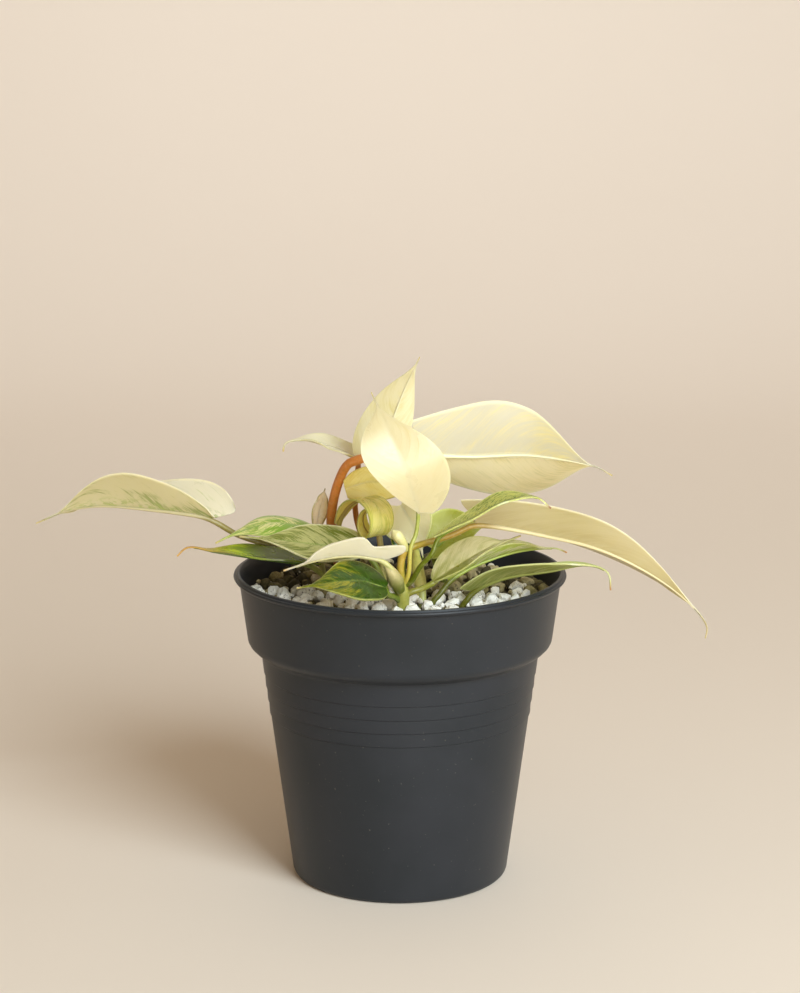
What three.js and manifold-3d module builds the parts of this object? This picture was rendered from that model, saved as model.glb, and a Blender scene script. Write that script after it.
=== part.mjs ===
// Potted philodendron: a young variegated plant in a dark nursery pot, in millimetres, +Z up.
// The origin is the middle of the pot's underside, and -Y is the front.
import * as THREE from "three";
import { mergeVertices } from "three/addons/utils/BufferGeometryUtils.js";
import Module from "manifold-3d";

// Pot
const POT_HEIGHT = 113;
const RIM_RADIUS = 60; // outside of the rolled lip
const LIP_WIDTH = 2.4;
const LIP_HEIGHT = 2.2;
const COLLAR_HEIGHT = 28.7; // lip included
const COLLAR_TOP_RADIUS = 58;
const COLLAR_FOOT_RADIUS = 55.2;
const COLLAR_SHOULDER = 4.2; // height of the rounded turn under the collar
const BODY_TOP_RADIUS = 50.4;
const BODY_FOOT_RADIUS = 39.2;
const FOOT_ROUNDING = 1.6;
const WALL = 1.5;
const FLOOR = 2;
const RING_HEIGHTS = [76, 70.8, 65.8, 60.8]; // the four fine steps in the body
const RING_STEP = 0.4;
const POT_SIDES = 48;
const DRAIN_HOLES = 8;
const DRAIN_RADIUS = 3.5;
const DRAIN_CIRCLE = 27;

// Filling
const CLEARANCE = 0.3; // between pieces that touch
const MIX_TOP = 97.6;
const GRAIN_BED_TOP = 103.6; // the valleys between the grains
const GRAIN_HEIGHT = 3; // how far a grain stands out of the bed
const GRAIN_RINGS = 17;
const GRAIN_SEED = 11;

// Stalks and blades
const STALK_SIDES = 6;
const BLADE_THICKNESS = 0.7;
const MIDRIB_DEPTH = 0.6; // how far the midrib stands out of the underside
const DRIP_HALF_WIDTH = 0.55; // half width of the thin tail at a blade's tip
const NARROW_BLADE = 3; // below this half width a blade flattens out
const WAIST_PLACE = 0.13; // share of the length at which a waisted blade is narrowest
const WAIST_REACH = 0.08;
const FRAME_STEPS = 60;
const JOINT_GAP = 0.9; // between a stalk and its blade
const FOOT_DEPTH = 94.5; // height at which the rooted stalks end, inside the mix

// The rolled blade: how its midrib climbs and turns, ahead of the roll's centre and above it
const SCROLL_ARCH = [[-19, -5], [-13, 2], [-6, 5.8]];
const SCROLL_STEPS = 11;
const SCROLL_START = 85; // degrees
const SCROLL_TURN = 47; // degrees from one step to the next
const SCROLL_RADIUS = 6.2;
const SCROLL_TIGHTENING = 0.42;

// Stem
const STEM_PATH = [[1, -26, FOOT_DEPTH], [1.1, -26, 102.5], [1, -27, 112]];
const STEM_RADIUS = 2.2;
const NODE_SPAN = [[1, -26.5, 107.5], [1, -27.2, 115.5]];
const NODE_RADIUS = 2.7;
const UPPER_STEM_PATH = [[0.9, -27.2, 115.9], [0.2, -28, 119.5], [0.5, -28, 123.5], [1.5, -28, 126.5]];
const UPPER_STEM_RADIUS = 1.25;
const SHOOT_PATH = [[1.6, -29, 128.4], [0.3, -29.8, 130.6], [-1.3, -30.2, 132.9]];
const SHOOT_RADIUS = 1.65;
const SHOOT_HEAD_RADIUS = 2;

const BLADE_ROUGHNESS = 0.35;
const STALK_ROUGHNESS = 0.45;
const CREAM = 0xeee6b0;
const PALE_CREAM = 0xe9ddb4;
const GOLDEN = 0xdcc777;
const STRIPED = 0xb9c377;
const GREEN = 0x76963b;
const DARK_GREEN = 0x3f6a25;
const STALK_GREEN = 0x8fa346;
const STALK_ORANGE = 0xc06a2c;
const STALK_TAN = 0xcf9a55;
const STEM_YELLOW = 0xd6b04e;
const SHOOT_YELLOW = 0xe9e08a;
const POT_GREY = 0x3a3b3c;
const MIX_BROWN = 0x4a3d2e;
const PUMICE_WHITE = 0xd8d3c6;

const wasm = await Module();
wasm.setup();

const plant = new THREE.Group();

// ---- solids ----

function solidOf(geometry) {
  const bare = geometry.index ? geometry.toNonIndexed() : geometry.clone();
  bare.deleteAttribute("normal");
  bare.deleteAttribute("uv");
  const merged = mergeVertices(bare, 1e-4);
  return new wasm.Manifold(
    new wasm.Mesh({
      numProp: 3,
      vertProperties: merged.attributes.position.array,
      triVerts: new Uint32Array(merged.index.array),
    }),
  );
}

function geometryOf(solid) {
  const mesh = solid.getMesh();
  const geometry = new THREE.BufferGeometry();
  geometry.setAttribute("position", new THREE.BufferAttribute(mesh.vertProperties, 3));
  geometry.setIndex(new THREE.BufferAttribute(mesh.triVerts, 1));
  return geometry;
}

function add(name, geometry, color, roughness) {
  geometry.computeVertexNormals();
  const material = new THREE.MeshStandardMaterial({ color, roughness, metalness: 0 });
  const mesh = new THREE.Mesh(geometry, material);
  mesh.name = name;
  plant.add(mesh);
}

// A lathe turns about Y, and the plant stands along Z.
function turned(profile, sides) {
  const points = profile.map(([radius, height]) => new THREE.Vector2(radius, height));
  return new THREE.LatheGeometry(points, sides).rotateX(Math.PI / 2);
}

function vectors(points) {
  return points.map((point) => new THREE.Vector3(...point));
}

function curveThrough(points) {
  return new THREE.CatmullRomCurve3(vectors(points));
}

function mix(from, to, share) {
  return from + (to - from) * share;
}

// ---- pot ----

// The wall's outside falls in a straight line from under the collar to the foot.
function bodyRadius(height) {
  const top = POT_HEIGHT - COLLAR_HEIGHT;
  return mix(BODY_FOOT_RADIUS, BODY_TOP_RADIUS, height / top);
}

function potOutside() {
  const collarFoot = POT_HEIGHT - COLLAR_HEIGHT;
  const profile = [
    [BODY_FOOT_RADIUS - FOOT_ROUNDING, 0],
    [BODY_FOOT_RADIUS - 0.3 * FOOT_ROUNDING, 0.3 * FOOT_ROUNDING],
    [bodyRadius(FOOT_ROUNDING), FOOT_ROUNDING],
  ];
  for (const height of [...RING_HEIGHTS].reverse()) {
    profile.push([bodyRadius(height) - 0.5 * RING_STEP, height - 0.3]);
    profile.push([bodyRadius(height) + 0.5 * RING_STEP, height + 0.3]);
  }
  profile.push(
    [BODY_TOP_RADIUS, collarFoot - 0.4],
    [mix(BODY_TOP_RADIUS, COLLAR_FOOT_RADIUS, 0.55), collarFoot + 0.25 * COLLAR_SHOULDER],
    [mix(BODY_TOP_RADIUS, COLLAR_FOOT_RADIUS, 0.9), collarFoot + 0.6 * COLLAR_SHOULDER],
    [COLLAR_FOOT_RADIUS, collarFoot + COLLAR_SHOULDER],
    [COLLAR_TOP_RADIUS, POT_HEIGHT - LIP_HEIGHT - 0.6],
    [RIM_RADIUS - 0.3, POT_HEIGHT - LIP_HEIGHT],
    [RIM_RADIUS, POT_HEIGHT - 0.6 * LIP_HEIGHT],
    [RIM_RADIUS - 0.5, POT_HEIGHT - 0.2],
    [RIM_RADIUS - 1.2, POT_HEIGHT],
  );
  return profile;
}

// Inside the pot, as [radius, height] from the floor up to the lip.
function potInside() {
  const collarFoot = POT_HEIGHT - COLLAR_HEIGHT;
  return [
    [bodyRadius(FLOOR) - WALL - 1, FLOOR],
    [bodyRadius(FLOOR + 1.5) - WALL, FLOOR + 1.5],
    [BODY_TOP_RADIUS - WALL - 0.2, collarFoot - 0.5],
    [COLLAR_FOOT_RADIUS - WALL, collarFoot + COLLAR_SHOULDER + 0.5],
    [COLLAR_TOP_RADIUS - WALL, POT_HEIGHT - 2 * LIP_HEIGHT],
    [RIM_RADIUS - LIP_WIDTH, POT_HEIGHT - 0.5],
  ];
}

function pot() {
  const profile = [[0, 0], ...potOutside(), ...potInside().reverse(), [0, FLOOR]];
  let shell = solidOf(turned(profile, POT_SIDES));
  for (let i = 0; i < DRAIN_HOLES; i++) {
    const angle = (2 * Math.PI * (i + 0.5)) / DRAIN_HOLES;
    const drill = new THREE.CylinderGeometry(DRAIN_RADIUS, DRAIN_RADIUS, 4 * FLOOR, 12);
    drill.rotateX(Math.PI / 2);
    drill.translate(DRAIN_CIRCLE * Math.cos(angle), DRAIN_CIRCLE * Math.sin(angle), 0);
    shell = shell.subtract(solidOf(drill));
  }
  return geometryOf(shell);
}

// The inside radius of the pot at a height, less the clearance.
function fillRadius(height) {
  const inside = potInside();
  for (let i = 1; i < inside.length; i++) {
    const [lowRadius, low] = inside[i - 1];
    const [highRadius, high] = inside[i];
    if (height <= high) {
      return mix(lowRadius, highRadius, (height - low) / (high - low)) - CLEARANCE;
    }
  }
  return RIM_RADIUS - LIP_WIDTH - CLEARANCE;
}

// ---- filling ----

function pottingMix() {
  const bottom = FLOOR + CLEARANCE;
  const corner = potInside()[1][1];
  const shoulderLow = potInside()[2][1];
  const shoulderHigh = potInside()[3][1];
  const heights = [corner, shoulderLow, shoulderHigh, MIX_TOP];
  const wall = heights.map((height) => [fillRadius(height) - 0.1, height]);
  return turned([[0, bottom], [fillRadius(corner) - 1.2, bottom], ...wall, [0, MIX_TOP]], POT_SIDES);
}

// A seeded draw from 0 to 1.
function draws(seed) {
  let state = seed;
  return () => {
    state = (state * 16807) % 2147483647;
    return state / 2147483647;
  };
}

// The grains are raised from a disc of six-sided cells: every third lattice point is a grain's top.
function grainBed() {
  const draw = draws(GRAIN_SEED);
  const radius = fillRadius(GRAIN_BED_TOP) - 0.1;
  const bottom = MIX_TOP + CLEARANCE;
  const bottomRadius = fillRadius(bottom) - 0.1;
  const positions = [];
  const index = new Map();
  const rings = GRAIN_RINGS;
  const within = (q, r) => Math.max(Math.abs(q), Math.abs(r), Math.abs(q + r)) <= rings;
  for (let q = -rings; q <= rings; q++) {
    for (let r = -rings; r <= rings; r++) {
      if (!within(q, r)) continue;
      const ring = Math.max(Math.abs(q), Math.abs(r), Math.abs(q + r));
      const x = q + r / 2;
      const y = (r * Math.sqrt(3)) / 2;
      const onEdge = ring === rings;
      const turn = Math.atan2(y, x) + (onEdge ? 0 : (draw() - 0.5) * (0.5 / Math.max(ring, 1)));
      const reach = (radius * (ring + (onEdge ? 0 : (draw() - 0.5) * 0.4))) / rings;
      const isTop = (((q - r) % 3) + 3) % 3 === 0 && !onEdge;
      const height = GRAIN_BED_TOP + (isTop ? GRAIN_HEIGHT * (0.55 + 0.6 * draw()) : draw() * 0.6);
      index.set(q + "," + r, positions.length / 3);
      positions.push(reach * Math.cos(turn), reach * Math.sin(turn), height);
    }
  }
  const faces = [];
  for (let q = -rings; q <= rings; q++) {
    for (let r = -rings; r <= rings; r++) {
      const here = index.get(q + "," + r);
      const east = index.get(q + 1 + "," + r);
      const north = index.get(q + "," + (r + 1));
      const southEast = index.get(q + 1 + "," + (r - 1));
      if (here !== undefined && east !== undefined && north !== undefined) {
        faces.push(here, east, north);
      }
      if (here !== undefined && southEast !== undefined && east !== undefined) {
        faces.push(here, southEast, east);
      }
    }
  }
  // The side wall and the flat underside hang from the outermost ring.
  const rim = [...index.entries()]
    .filter(([key]) => {
      const [q, r] = key.split(",").map(Number);
      return Math.max(Math.abs(q), Math.abs(r), Math.abs(q + r)) === rings;
    })
    .map(([, at]) => at)
    .sort((a, b) => angleOf(positions, a) - angleOf(positions, b));
  const lower = rim.map((at) => {
    const angle = angleOf(positions, at);
    positions.push(bottomRadius * Math.cos(angle), bottomRadius * Math.sin(angle), bottom);
    return positions.length / 3 - 1;
  });
  positions.push(0, 0, bottom);
  const centre = positions.length / 3 - 1;
  rim.forEach((at, i) => {
    const next = (i + 1) % rim.length;
    faces.push(at, lower[i], lower[next], at, lower[next], rim[next]);
    faces.push(centre, lower[next], lower[i]);
  });
  const bed = new THREE.BufferGeometry();
  bed.setAttribute("position", new THREE.Float32BufferAttribute(positions, 3));
  bed.setIndex(faces);
  return bed;
}

function angleOf(positions, at) {
  return Math.atan2(positions[3 * at + 1], positions[3 * at]);
}

// ---- stalks ----

function section(radius, sides) {
  const shape = new THREE.Shape();
  for (let i = 0; i < sides; i++) {
    const angle = (2 * Math.PI * i) / sides;
    const point = [radius * Math.cos(angle), radius * Math.sin(angle)];
    if (i === 0) shape.moveTo(...point);
    else shape.lineTo(...point);
  }
  return shape;
}

// The stretch of a curve that is left after a gap at each end.
class Stretch extends THREE.Curve {
  constructor(curve, startGap, endGap) {
    super();
    this.curve = curve;
    this.from = startGap / curve.getLength();
    this.to = 1 - endGap / curve.getLength();
  }
  getPoint(share) {
    return this.curve.getPointAt(mix(this.from, this.to, share));
  }
}

function tube(points, radius, steps, startGap = 0, endGap = 0) {
  const path = new Stretch(curveThrough(points), startGap, endGap);
  const shape = section(radius, STALK_SIDES);
  return new THREE.ExtrudeGeometry(shape, { steps, extrudePath: path, bevelEnabled: false });
}

// A spindle from one point to another, thickest at its middle.
function spindle(from, to, radius) {
  const [start, end] = vectors([from, to]);
  const along = end.clone().sub(start);
  const length = along.length();
  const profile = [];
  for (let i = 0; i <= 6; i++) {
    const share = i / 6;
    profile.push([radius * Math.sin(Math.PI * share) ** 0.8, length * (share - 0.5)]);
  }
  const solid = turned(profile.map(([r, h]) => [r, -h]).reverse(), 10);
  solid.applyQuaternion(
    new THREE.Quaternion().setFromUnitVectors(new THREE.Vector3(0, 0, -1), along.normalize()),
  );
  const middle = start.add(end).multiplyScalar(0.5);
  return solid.translate(middle.x, middle.y, middle.z);
}

// ---- blades ----

// Midrib points, tangents and upward normals at even steps along a blade, base to tip.
// The normal starts at the blade's face and is carried along without spinning.
function bladeFrames(leaf) {
  const rib = curveThrough(leaf.rib);
  const frames = [];
  let normal = new THREE.Vector3(...leaf.face);
  for (let i = 0; i <= FRAME_STEPS; i++) {
    const share = i / FRAME_STEPS;
    const tangent = rib.getTangentAt(share);
    normal = normal.clone().addScaledVector(tangent, -normal.dot(tangent)).normalize();
    const turn = THREE.MathUtils.degToRad(leaf.twist * share);
    const up = normal.clone().applyAxisAngle(tangent, turn);
    frames.push({ point: rib.getPointAt(share), tangent, up, side: tangent.clone().cross(up) });
  }
  return frames;
}

// A half blade's width, as a share of its widest: rounded at the base and drawn out at the tip.
function outline(leaf, share, hand) {
  const along = leaf.start + (1 - leaf.start) * Math.min(1, share / (1 - leaf.drip));
  const bulge = Math.sin(Math.PI * along ** (Math.log(0.5) / Math.log(leaf.widest[hand])));
  const neck = 1 - leaf.waist * Math.exp(-(((share - WAIST_PLACE) / WAIST_REACH) ** 2));
  return neck * Math.max(0, bulge) ** mix(0.8, 1.7, along * along);
}

function bladeGeometry(leaf) {
  const frames = bladeFrames(leaf);
  const [rows, columns] = leaf.grid;
  const seat = BLADE_THICKNESS / 2 + MIDRIB_DEPTH; // the rib points run along the midrib's underside
  const top = [];
  const under = [];
  for (let i = 0; i <= rows; i++) {
    const share = i / rows;
    const { point, tangent, up, side } = frames[Math.round(share * FRAME_STEPS)];
    for (let j = -columns; j <= columns; j++) {
      const hand = j < 0 ? 0 : 1; // 0 is the left half and 1 the right, seen from above, tip ahead
      const sign = j < 0 ? -1 : 1;
      const out = Math.abs(j) / columns;
      const tail = DRIP_HALF_WIDTH * (1.2 - 0.5 * share);
      const half = Math.max(leaf.half[hand] * outline(leaf, share, hand), tail);
      const ease = Math.min(1, half / NARROW_BLADE);
      const [foldBase, foldTip] = leaf.fold[hand];
      const fold = THREE.MathUtils.degToRad(mix(foldBase, foldTip, share)) * ease;
      const cup = THREE.MathUtils.degToRad(leaf.cup) * ease + 1e-4;
      const angle = fold + cup * out;
      const across = (half / cup) * (Math.sin(angle) - Math.sin(fold));
      const wave = leaf.wave * out * out * Math.sin(2 * Math.PI * (leaf.waves * share + 0.2 * hand));
      const rise = (half / cup) * (Math.cos(fold) - Math.cos(angle)) + wave * Math.sin(Math.PI * share);
      const near = Math.max(0, 1 - (share / leaf.lobeReach) ** leaf.lobeRound);
      const notch = mix(out * out * (3 - 2 * out), Math.sin(2 * out), leaf.ear);
      const back = leaf.lobe[hand] * notch * near * near;
      const middle = point
        .clone()
        .addScaledVector(up, seat)
        .addScaledVector(tangent, -back)
        .addScaledVector(side, sign * across)
        .addScaledVector(up, rise);
      const tilt = j === 0 ? 0 : angle;
      const normal = up.clone().multiplyScalar(Math.cos(tilt));
      normal.addScaledVector(side, -sign * Math.sin(tilt));
      const rib = j === 0 ? MIDRIB_DEPTH * (1 - share) : 0;
      top.push(middle.clone().addScaledVector(normal, BLADE_THICKNESS / 2));
      under.push(middle.clone().addScaledVector(normal, -BLADE_THICKNESS / 2 - rib));
    }
  }
  return sheet(top, under, rows, 2 * columns);
}

// A closed sheet from two like grids of points, split into triangles alike on both faces.
function sheet(top, under, rows, columns) {
  const width = columns + 1;
  const below = top.length;
  const at = (i, j) => i * width + j;
  const faces = [];
  const quad = (a, b, c, d) => faces.push(a, b, c, a, c, d);
  for (let i = 0; i < rows; i++) {
    for (let j = 0; j < columns; j++) {
      const [a, b, c, d] = [at(i, j), at(i, j + 1), at(i + 1, j + 1), at(i + 1, j)];
      faces.push(a, b, c, a, c, d);
      faces.push(below + a, below + c, below + b, below + a, below + d, below + c);
    }
    const [left, leftNext] = [at(i, 0), at(i + 1, 0)];
    const [right, rightNext] = [at(i, columns), at(i + 1, columns)];
    quad(below + right, below + rightNext, rightNext, right);
    quad(left, leftNext, below + leftNext, below + left);
  }
  for (let j = 0; j < columns; j++) {
    const [base, baseNext] = [at(0, j), at(0, j + 1)];
    const [tip, tipNext] = [at(rows, j), at(rows, j + 1)];
    quad(below + base, below + baseNext, baseNext, base);
    quad(tip, tipNext, below + tipNext, below + tip);
  }
  const geometry = new THREE.BufferGeometry();
  const positions = [...top, ...under].flatMap((point) => point.toArray());
  geometry.setAttribute("position", new THREE.Float32BufferAttribute(positions, 3));
  geometry.setIndex(faces);
  return geometry;
}

// A scroll's midrib: it climbs an arch, then turns over itself and tightens. centre is the middle of the
// roll and ahead is the level way in which the arch runs.
function scroll(centre, ahead) {
  const turn = [];
  for (let step = 0; step < SCROLL_STEPS; step++) {
    const angle = THREE.MathUtils.degToRad(SCROLL_START - SCROLL_TURN * step);
    const radius = SCROLL_RADIUS - SCROLL_TIGHTENING * step;
    turn.push([radius * Math.cos(angle), radius * Math.sin(angle)]);
  }
  return [...SCROLL_ARCH, ...turn].map(([out, above]) => [
    centre[0] + ahead[0] * out,
    centre[1] + ahead[1] * out,
    centre[2] + above,
  ]);
}

// ---- the plant ----

// What every leaf has unless it says otherwise. rib runs from the blade's joint to its tip, face is the
// way the upper side looks at the joint, half and lobe are [left, right], and fold is the angle at which
// each half rises from flat, at the joint and at the tip.
const PLAIN = {
  twist: 0,
  cup: 10,
  lobe: [3, 3],
  lobeReach: 0.3, // share of the length that the base lobes take
  lobeRound: 1, // above 1 a lobe is rounder
  ear: 0, // 1 for a lobe rounded like an ear, 0 for a notched base
  start: 0.05,
  widest: [0.36, 0.36],
  waist: 0,
  drip: 0.1,
  wave: 0.4,
  waves: 2,
  grid: [10, 3],
  radius: 1.1,
  steps: 8,
  rooted: false,
  stalkColor: STALK_GREEN,
};

const leaves = [
  {
    name: "far_left",
    rib: [[-67, 4, 130.5], [-87, 3, 133.5], [-108, 2, 135.5], [-120, 1, 134], [-131, 0, 130]],
    face: [0, 0.15, 1],
    twist: 85,
    half: [12.5, 14.8],
    fold: [[60, 15], [72, 70]],
    lobe: [0, 7],
    lobeReach: 0.6,
    lobeRound: 2,
    ear: 1,
    start: 0.01,
    widest: [0.52, 0.3],
    grid: [12, 3],
    stalk: [
      [-14, 18, FOOT_DEPTH], [-15, 18, 104.5], [-24, 16, 111.5], [-47, 8, 120], [-61, 6, 125.5],
      [-67, 4, 130.5],
    ],
    rooted: true,
    color: CREAM,
  },
  {
    name: "left_upper",
    rib: [[-32, 4, 126.5], [-45, 2, 129], [-57, 0, 126.5], [-66, -2, 122.5]],
    face: [0, -0.25, 1],
    half: [10, 8],
    fold: [[5, 5], [5, 5]],
    cup: -25,
    lobe: [3, 0],
    stalk: [[-12, 0, FOOT_DEPTH], [-13, 0, 104.5], [-20, 2, 116.5], [-32, 4, 126.5]],
    rooted: true,
    color: GREEN,
  },
  {
    name: "left_middle",
    rib: [[-13.5, -12, 123.5], [-28, -14, 124.5], [-44, -14, 126.5], [-57, -13, 127.5]],
    face: [0, -0.35, 0.94],
    half: [9, 9.5],
    fold: [[-10, -10], [15, 15]],
    lobe: [2, 1],
    stalk: [[-4, -14, FOOT_DEPTH], [-4.5, -14, 106.5], [-8, -13, 116.5], [-13.5, -12, 123.5]],
    rooted: true,
    color: STRIPED,
  },
  {
    name: "left_low",
    rib: [[-32, 0, 114.5], [-50, -2, 117], [-66, -3, 119.5], [-76, -3, 121], [-79.5, -3, 118]],
    face: [0, -0.05, 1],
    half: [9, 9],
    fold: [[10, 10], [10, 10]],
    stalk: [[-22, -5, FOOT_DEPTH], [-23, -5, 104.5], [-27, -2, 110.5], [-32, 0, 114.5]],
    rooted: true,
    color: DARK_GREEN,
  },
  {
    name: "front_left",
    rib: [[-5.6, -34, 124], [-17, -36, 126], [-28, -38, 125], [-40, -38, 121]],
    face: [0, 0.1, 1],
    half: [8, 7.5],
    fold: [[62, 40], [28, 35]],
    lobe: [6.5, 0],
    lobeReach: 0.13,
    lobeRound: 1.5,
    ear: 1,
    start: 0.2,
    widest: [0.4, 0.4],
    waist: 0.45,
    grid: [20, 3],
    stalk: [[-0.8, -30.2, 114.4], [-1.6, -32, 118.5], [-3.5, -34, 122], [-5.6, -34, 124]],
    sheath: [[-4.2, -33.4, 121.8], [-0.4, -30.3, 113.6], 2.5],
    color: PALE_CREAM,
  },
  {
    name: "front_low",
    rib: [[-5.4, -35, 114.2], [-13.4, -38.8, 117.5], [-23, -42, 118], [-35.5, -42, 116]],
    face: [0, -0.5, 0.87],
    half: [9.5, 10.6],
    fold: [[8, 8], [8, 8]],
    cup: -15,
    lobe: [0, 1.5],
    start: 0.02,
    stalk: [[-1.9, -29, 110.3], [-3.6, -31.8, 111.4], [-5.4, -35, 114.2]],
    steps: 4,
    color: GREEN,
  },
  {
    name: "centre_front",
    rib: [[6.5, -26, 140], [1.8, -31, 155.5], [-4.2, -27, 169.5], [-10, -18, 180.5]],
    face: [0.1, -0.9, 0.35],
    half: [12.5, 14.8],
    fold: [[6, 6], [6, 6]],
    cup: -8,
    lobe: [0, 2],
    start: 0.015,
    widest: [0.6, 0.32],
    stalk: [[3, -29, 118.5], [3.8, -28.5, 128], [5.6, -26.5, 132.5], [6.5, -25.9, 140]],
    radius: 0.75,
    color: CREAM,
  },
  {
    name: "upright",
    rib: [[-9, 3.4, 154.5], [-3.6, 7, 164.5], [1.4, 7.6, 177], [7, 4.6, 189.5]],
    face: [0.1, 0.95, 0.2],
    half: [8.5, 11],
    fold: [[15, 15], [15, 15]],
    lobe: [1, 3],
    widest: [0.28, 0.28],
    drip: 0.02,
    stalk: [
      [-20, 10, FOOT_DEPTH], [-22.6, 10, 114.5], [-25, 9, 128.5], [-22, 6, 144.5], [-17.3, 1.6, 152.5],
      [-9, 1.3, 154.1],
    ],
    radius: 1.8,
    rooted: true,
    color: CREAM,
    stalkColor: STALK_ORANGE,
  },
  {
    name: "left_high",
    rib: [[-14, 16, 149.5], [-25.5, 18, 154], [-34.5, 18, 156.5], [-41, 16, 155.7], [-41.7, 15.8, 153.2]],
    face: [0, 0, 1],
    half: [9.5, 9.5],
    fold: [[5, 5], [5, 5]],
    stalk: [
      [-8, 18, FOOT_DEPTH], [-9, 18, 108.5], [-16, 17, 128.5], [-15.6, 16, 145.5], [-14, 16, 149.5],
    ],
    rooted: true,
    color: CREAM,
    stalkColor: STALK_ORANGE,
  },
  {
    name: "golden",
    rib: [[-20, 4.3, 142], [-11, 6.2, 144], [0, 5.4, 143], [12, 4.4, 140]],
    face: [0, -1, 0.15],
    half: [6, 7.5],
    fold: [[10, 10], [10, 10]],
    lobe: [0, 0],
    stalk: [
      [-6, 10, FOOT_DEPTH], [-6.5, 11, 113.5], [-11, 12, 136.5], [-18, 9.5, 142.2], [-20, 4.3, 142],
    ],
    steps: 10,
    rooted: true,
    color: GOLDEN,
  },
  {
    name: "rolled",
    rib: scroll([-10.5, -10.5, 133.6], [0.62, -0.78]),
    face: [-0.45, 0.57, 0.68],
    half: [5.5, 5.5],
    fold: [[0, 0], [0, 0]],
    cup: 4,
    lobe: [0, 0],
    widest: [0.5, 0.5],
    drip: 0.02,
    wave: 0,
    grid: [30, 2],
    stalk: [[-15, 7, FOOT_DEPTH], [-18, 7, 108.5], [-23, 5.5, 120.5], [-22.3, 4.3, 128.6]],
    rooted: true,
    color: STRIPED,
  },
  {
    name: "folded_small",
    rib: [[-30.7, 15, 124], [-29.9, 15, 130], [-27.3, 15, 140]],
    face: [0.1, -1, 0.1],
    half: [4.5, 4.5],
    fold: [[20, 10], [20, 10]],
    cup: 70,
    lobe: [0, 0],
    start: 0.16,
    widest: [0.6, 0.6],
    drip: 0.03,
    wave: 0,
    grid: [6, 3],
    stalk: [[-27, 24, FOOT_DEPTH], [-29, 21, 110.5], [-30.7, 16, 120.5], [-30.7, 15, 124]],
    rooted: true,
    color: PALE_CREAM,
  },
  {
    name: "dark_back",
    rib: [[4.4, 11, 119], [-0.7, 11, 125.5], [-6, 11, 130]],
    face: [0, -0.9, 0.4],
    half: [6, 6],
    fold: [[10, 10], [10, 10]],
    grid: [6, 2],
    stalk: [[8, 15, FOOT_DEPTH], [7, 14, 108.5], [4.4, 11, 119]],
    rooted: true,
    color: DARK_GREEN,
  },
  {
    name: "centre_back",
    rib: [[0.7, -3, 137.5], [4.2, -6, 132.5], [7.1, -8, 126], [8.5, -9, 119.5]],
    face: [-0.3, -1, 0.1],
    half: [9, 10.5],
    fold: [[5, 5], [5, 5]],
    stalk: [[2, 4, FOOT_DEPTH], [1, 4, 113.5], [-0.5, 3, 128.5], [0.7, -3, 137.5]],
    rooted: true,
    color: CREAM,
  },
  {
    name: "speckled",
    rib: [[13.2, -30, 131.9], [24.3, -32, 138], [38, -30, 144.3], [47, -28, 144.9], [52, -28, 141.1]],
    face: [-0.3, -0.25, 0.9],
    half: [5.5, 5.5],
    fold: [[15, 10], [15, 10]],
    lobe: [1, 1],
    start: 0.05,
    widest: [0.6, 0.6],
    stalk: [[3.8, -28, 115.5], [7, -31, 121.5], [11, -32, 126.5], [13.2, -30, 131.9]],
    radius: 0.9,
    color: GREEN,
  },
  {
    name: "small_green",
    rib: [[12, 2, 119.8], [19, 3, 124.5], [28, 4, 128], [35, 4, 129.4]],
    face: [0, -1, 0.3],
    half: [11, 5.5],
    fold: [[8, 8], [10, 10]],
    lobe: [2, 2],
    grid: [6, 2],
    stalk: [[16, 5, FOOT_DEPTH], [15.5, 5, 108.5], [12.8, 3.5, 114.5], [12, 2, 119.8]],
    rooted: true,
    color: GREEN,
  },
  {
    name: "drooping",
    rib: [
      [26.5, -16, 133.5], [49.5, -18, 129.5], [70.5, -22, 125], [90, -24, 115.5], [102, -24, 106],
      [109, -23, 97.5], [108, -22, 93],
    ],
    face: [0, 0.9, 0.44],
    half: [11, 11],
    fold: [[60, 15], [30, 20]],
    lobe: [3, 6.5],
    start: 0.1,
    widest: [0.38, 0.38],
    grid: [15, 3],
    stalk: [[4.2, -27, 127.5], [9, -24, 128.5], [17.6, -20, 130.1], [26.5, -16, 133.5]],
    color: CREAM,
    stalkColor: STALK_TAN,
  },
  {
    name: "high_right",
    rib: [[9, 12, 152.5], [25.5, 16, 151], [47.5, 18, 151], [71, 14, 147.5], [77, 13, 144.5]],
    face: [0, 0.95, 0.3],
    half: [21, 20.5],
    fold: [[10, 10], [15, 15]],
    lobe: [6, 6],
    start: 0.18,
    widest: [0.62, 0.5],
    grid: [12, 3],
    stalk: [
      [7.5, -11, FOOT_DEPTH], [8, -10, 104.5], [6.5, -4, 114.5], [5.5, 2, 122.5], [5.5, 6, 134.5],
      [6.5, 9, 145.5], [9, 12, 152.5],
    ],
    radius: 1.4,
    steps: 12,
    sheath: [[7.6, -8, 107.8], [6, -2, 117], 2.4],
    rooted: true,
    color: CREAM,
  },
  {
    name: "right_middle",
    rib: [[12, -22, 113.5], [21, -20, 118.5], [32, -16, 124], [43, -12, 127.5]],
    face: [-0.2, -0.3, 0.95],
    half: [8.4, 3.5],
    fold: [[35, 25], [0, 0]],
    lobe: [0, 0],
    start: 0.02,
    widest: [0.44, 0.36],
    stalk: [[4.4, -26.5, 111.5], [7, -25.5, 112], [12, -22, 113.5]],
    steps: 5,
    color: PALE_CREAM,
  },
  {
    name: "right_low",
    rib: [[17.5, -12, 111.5], [28.5, -8, 116.5], [43, -3, 119.9], [56, 2, 119.5], [60, 4, 117.5]],
    face: [0, 0, 1],
    half: [9, 9],
    fold: [[25, 20], [40, 30]],
    stalk: [[9, -16, FOOT_DEPTH], [11.7, -15, 104.5], [14.2, -14, 107.5], [17.5, -12, 111.5]],
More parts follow.
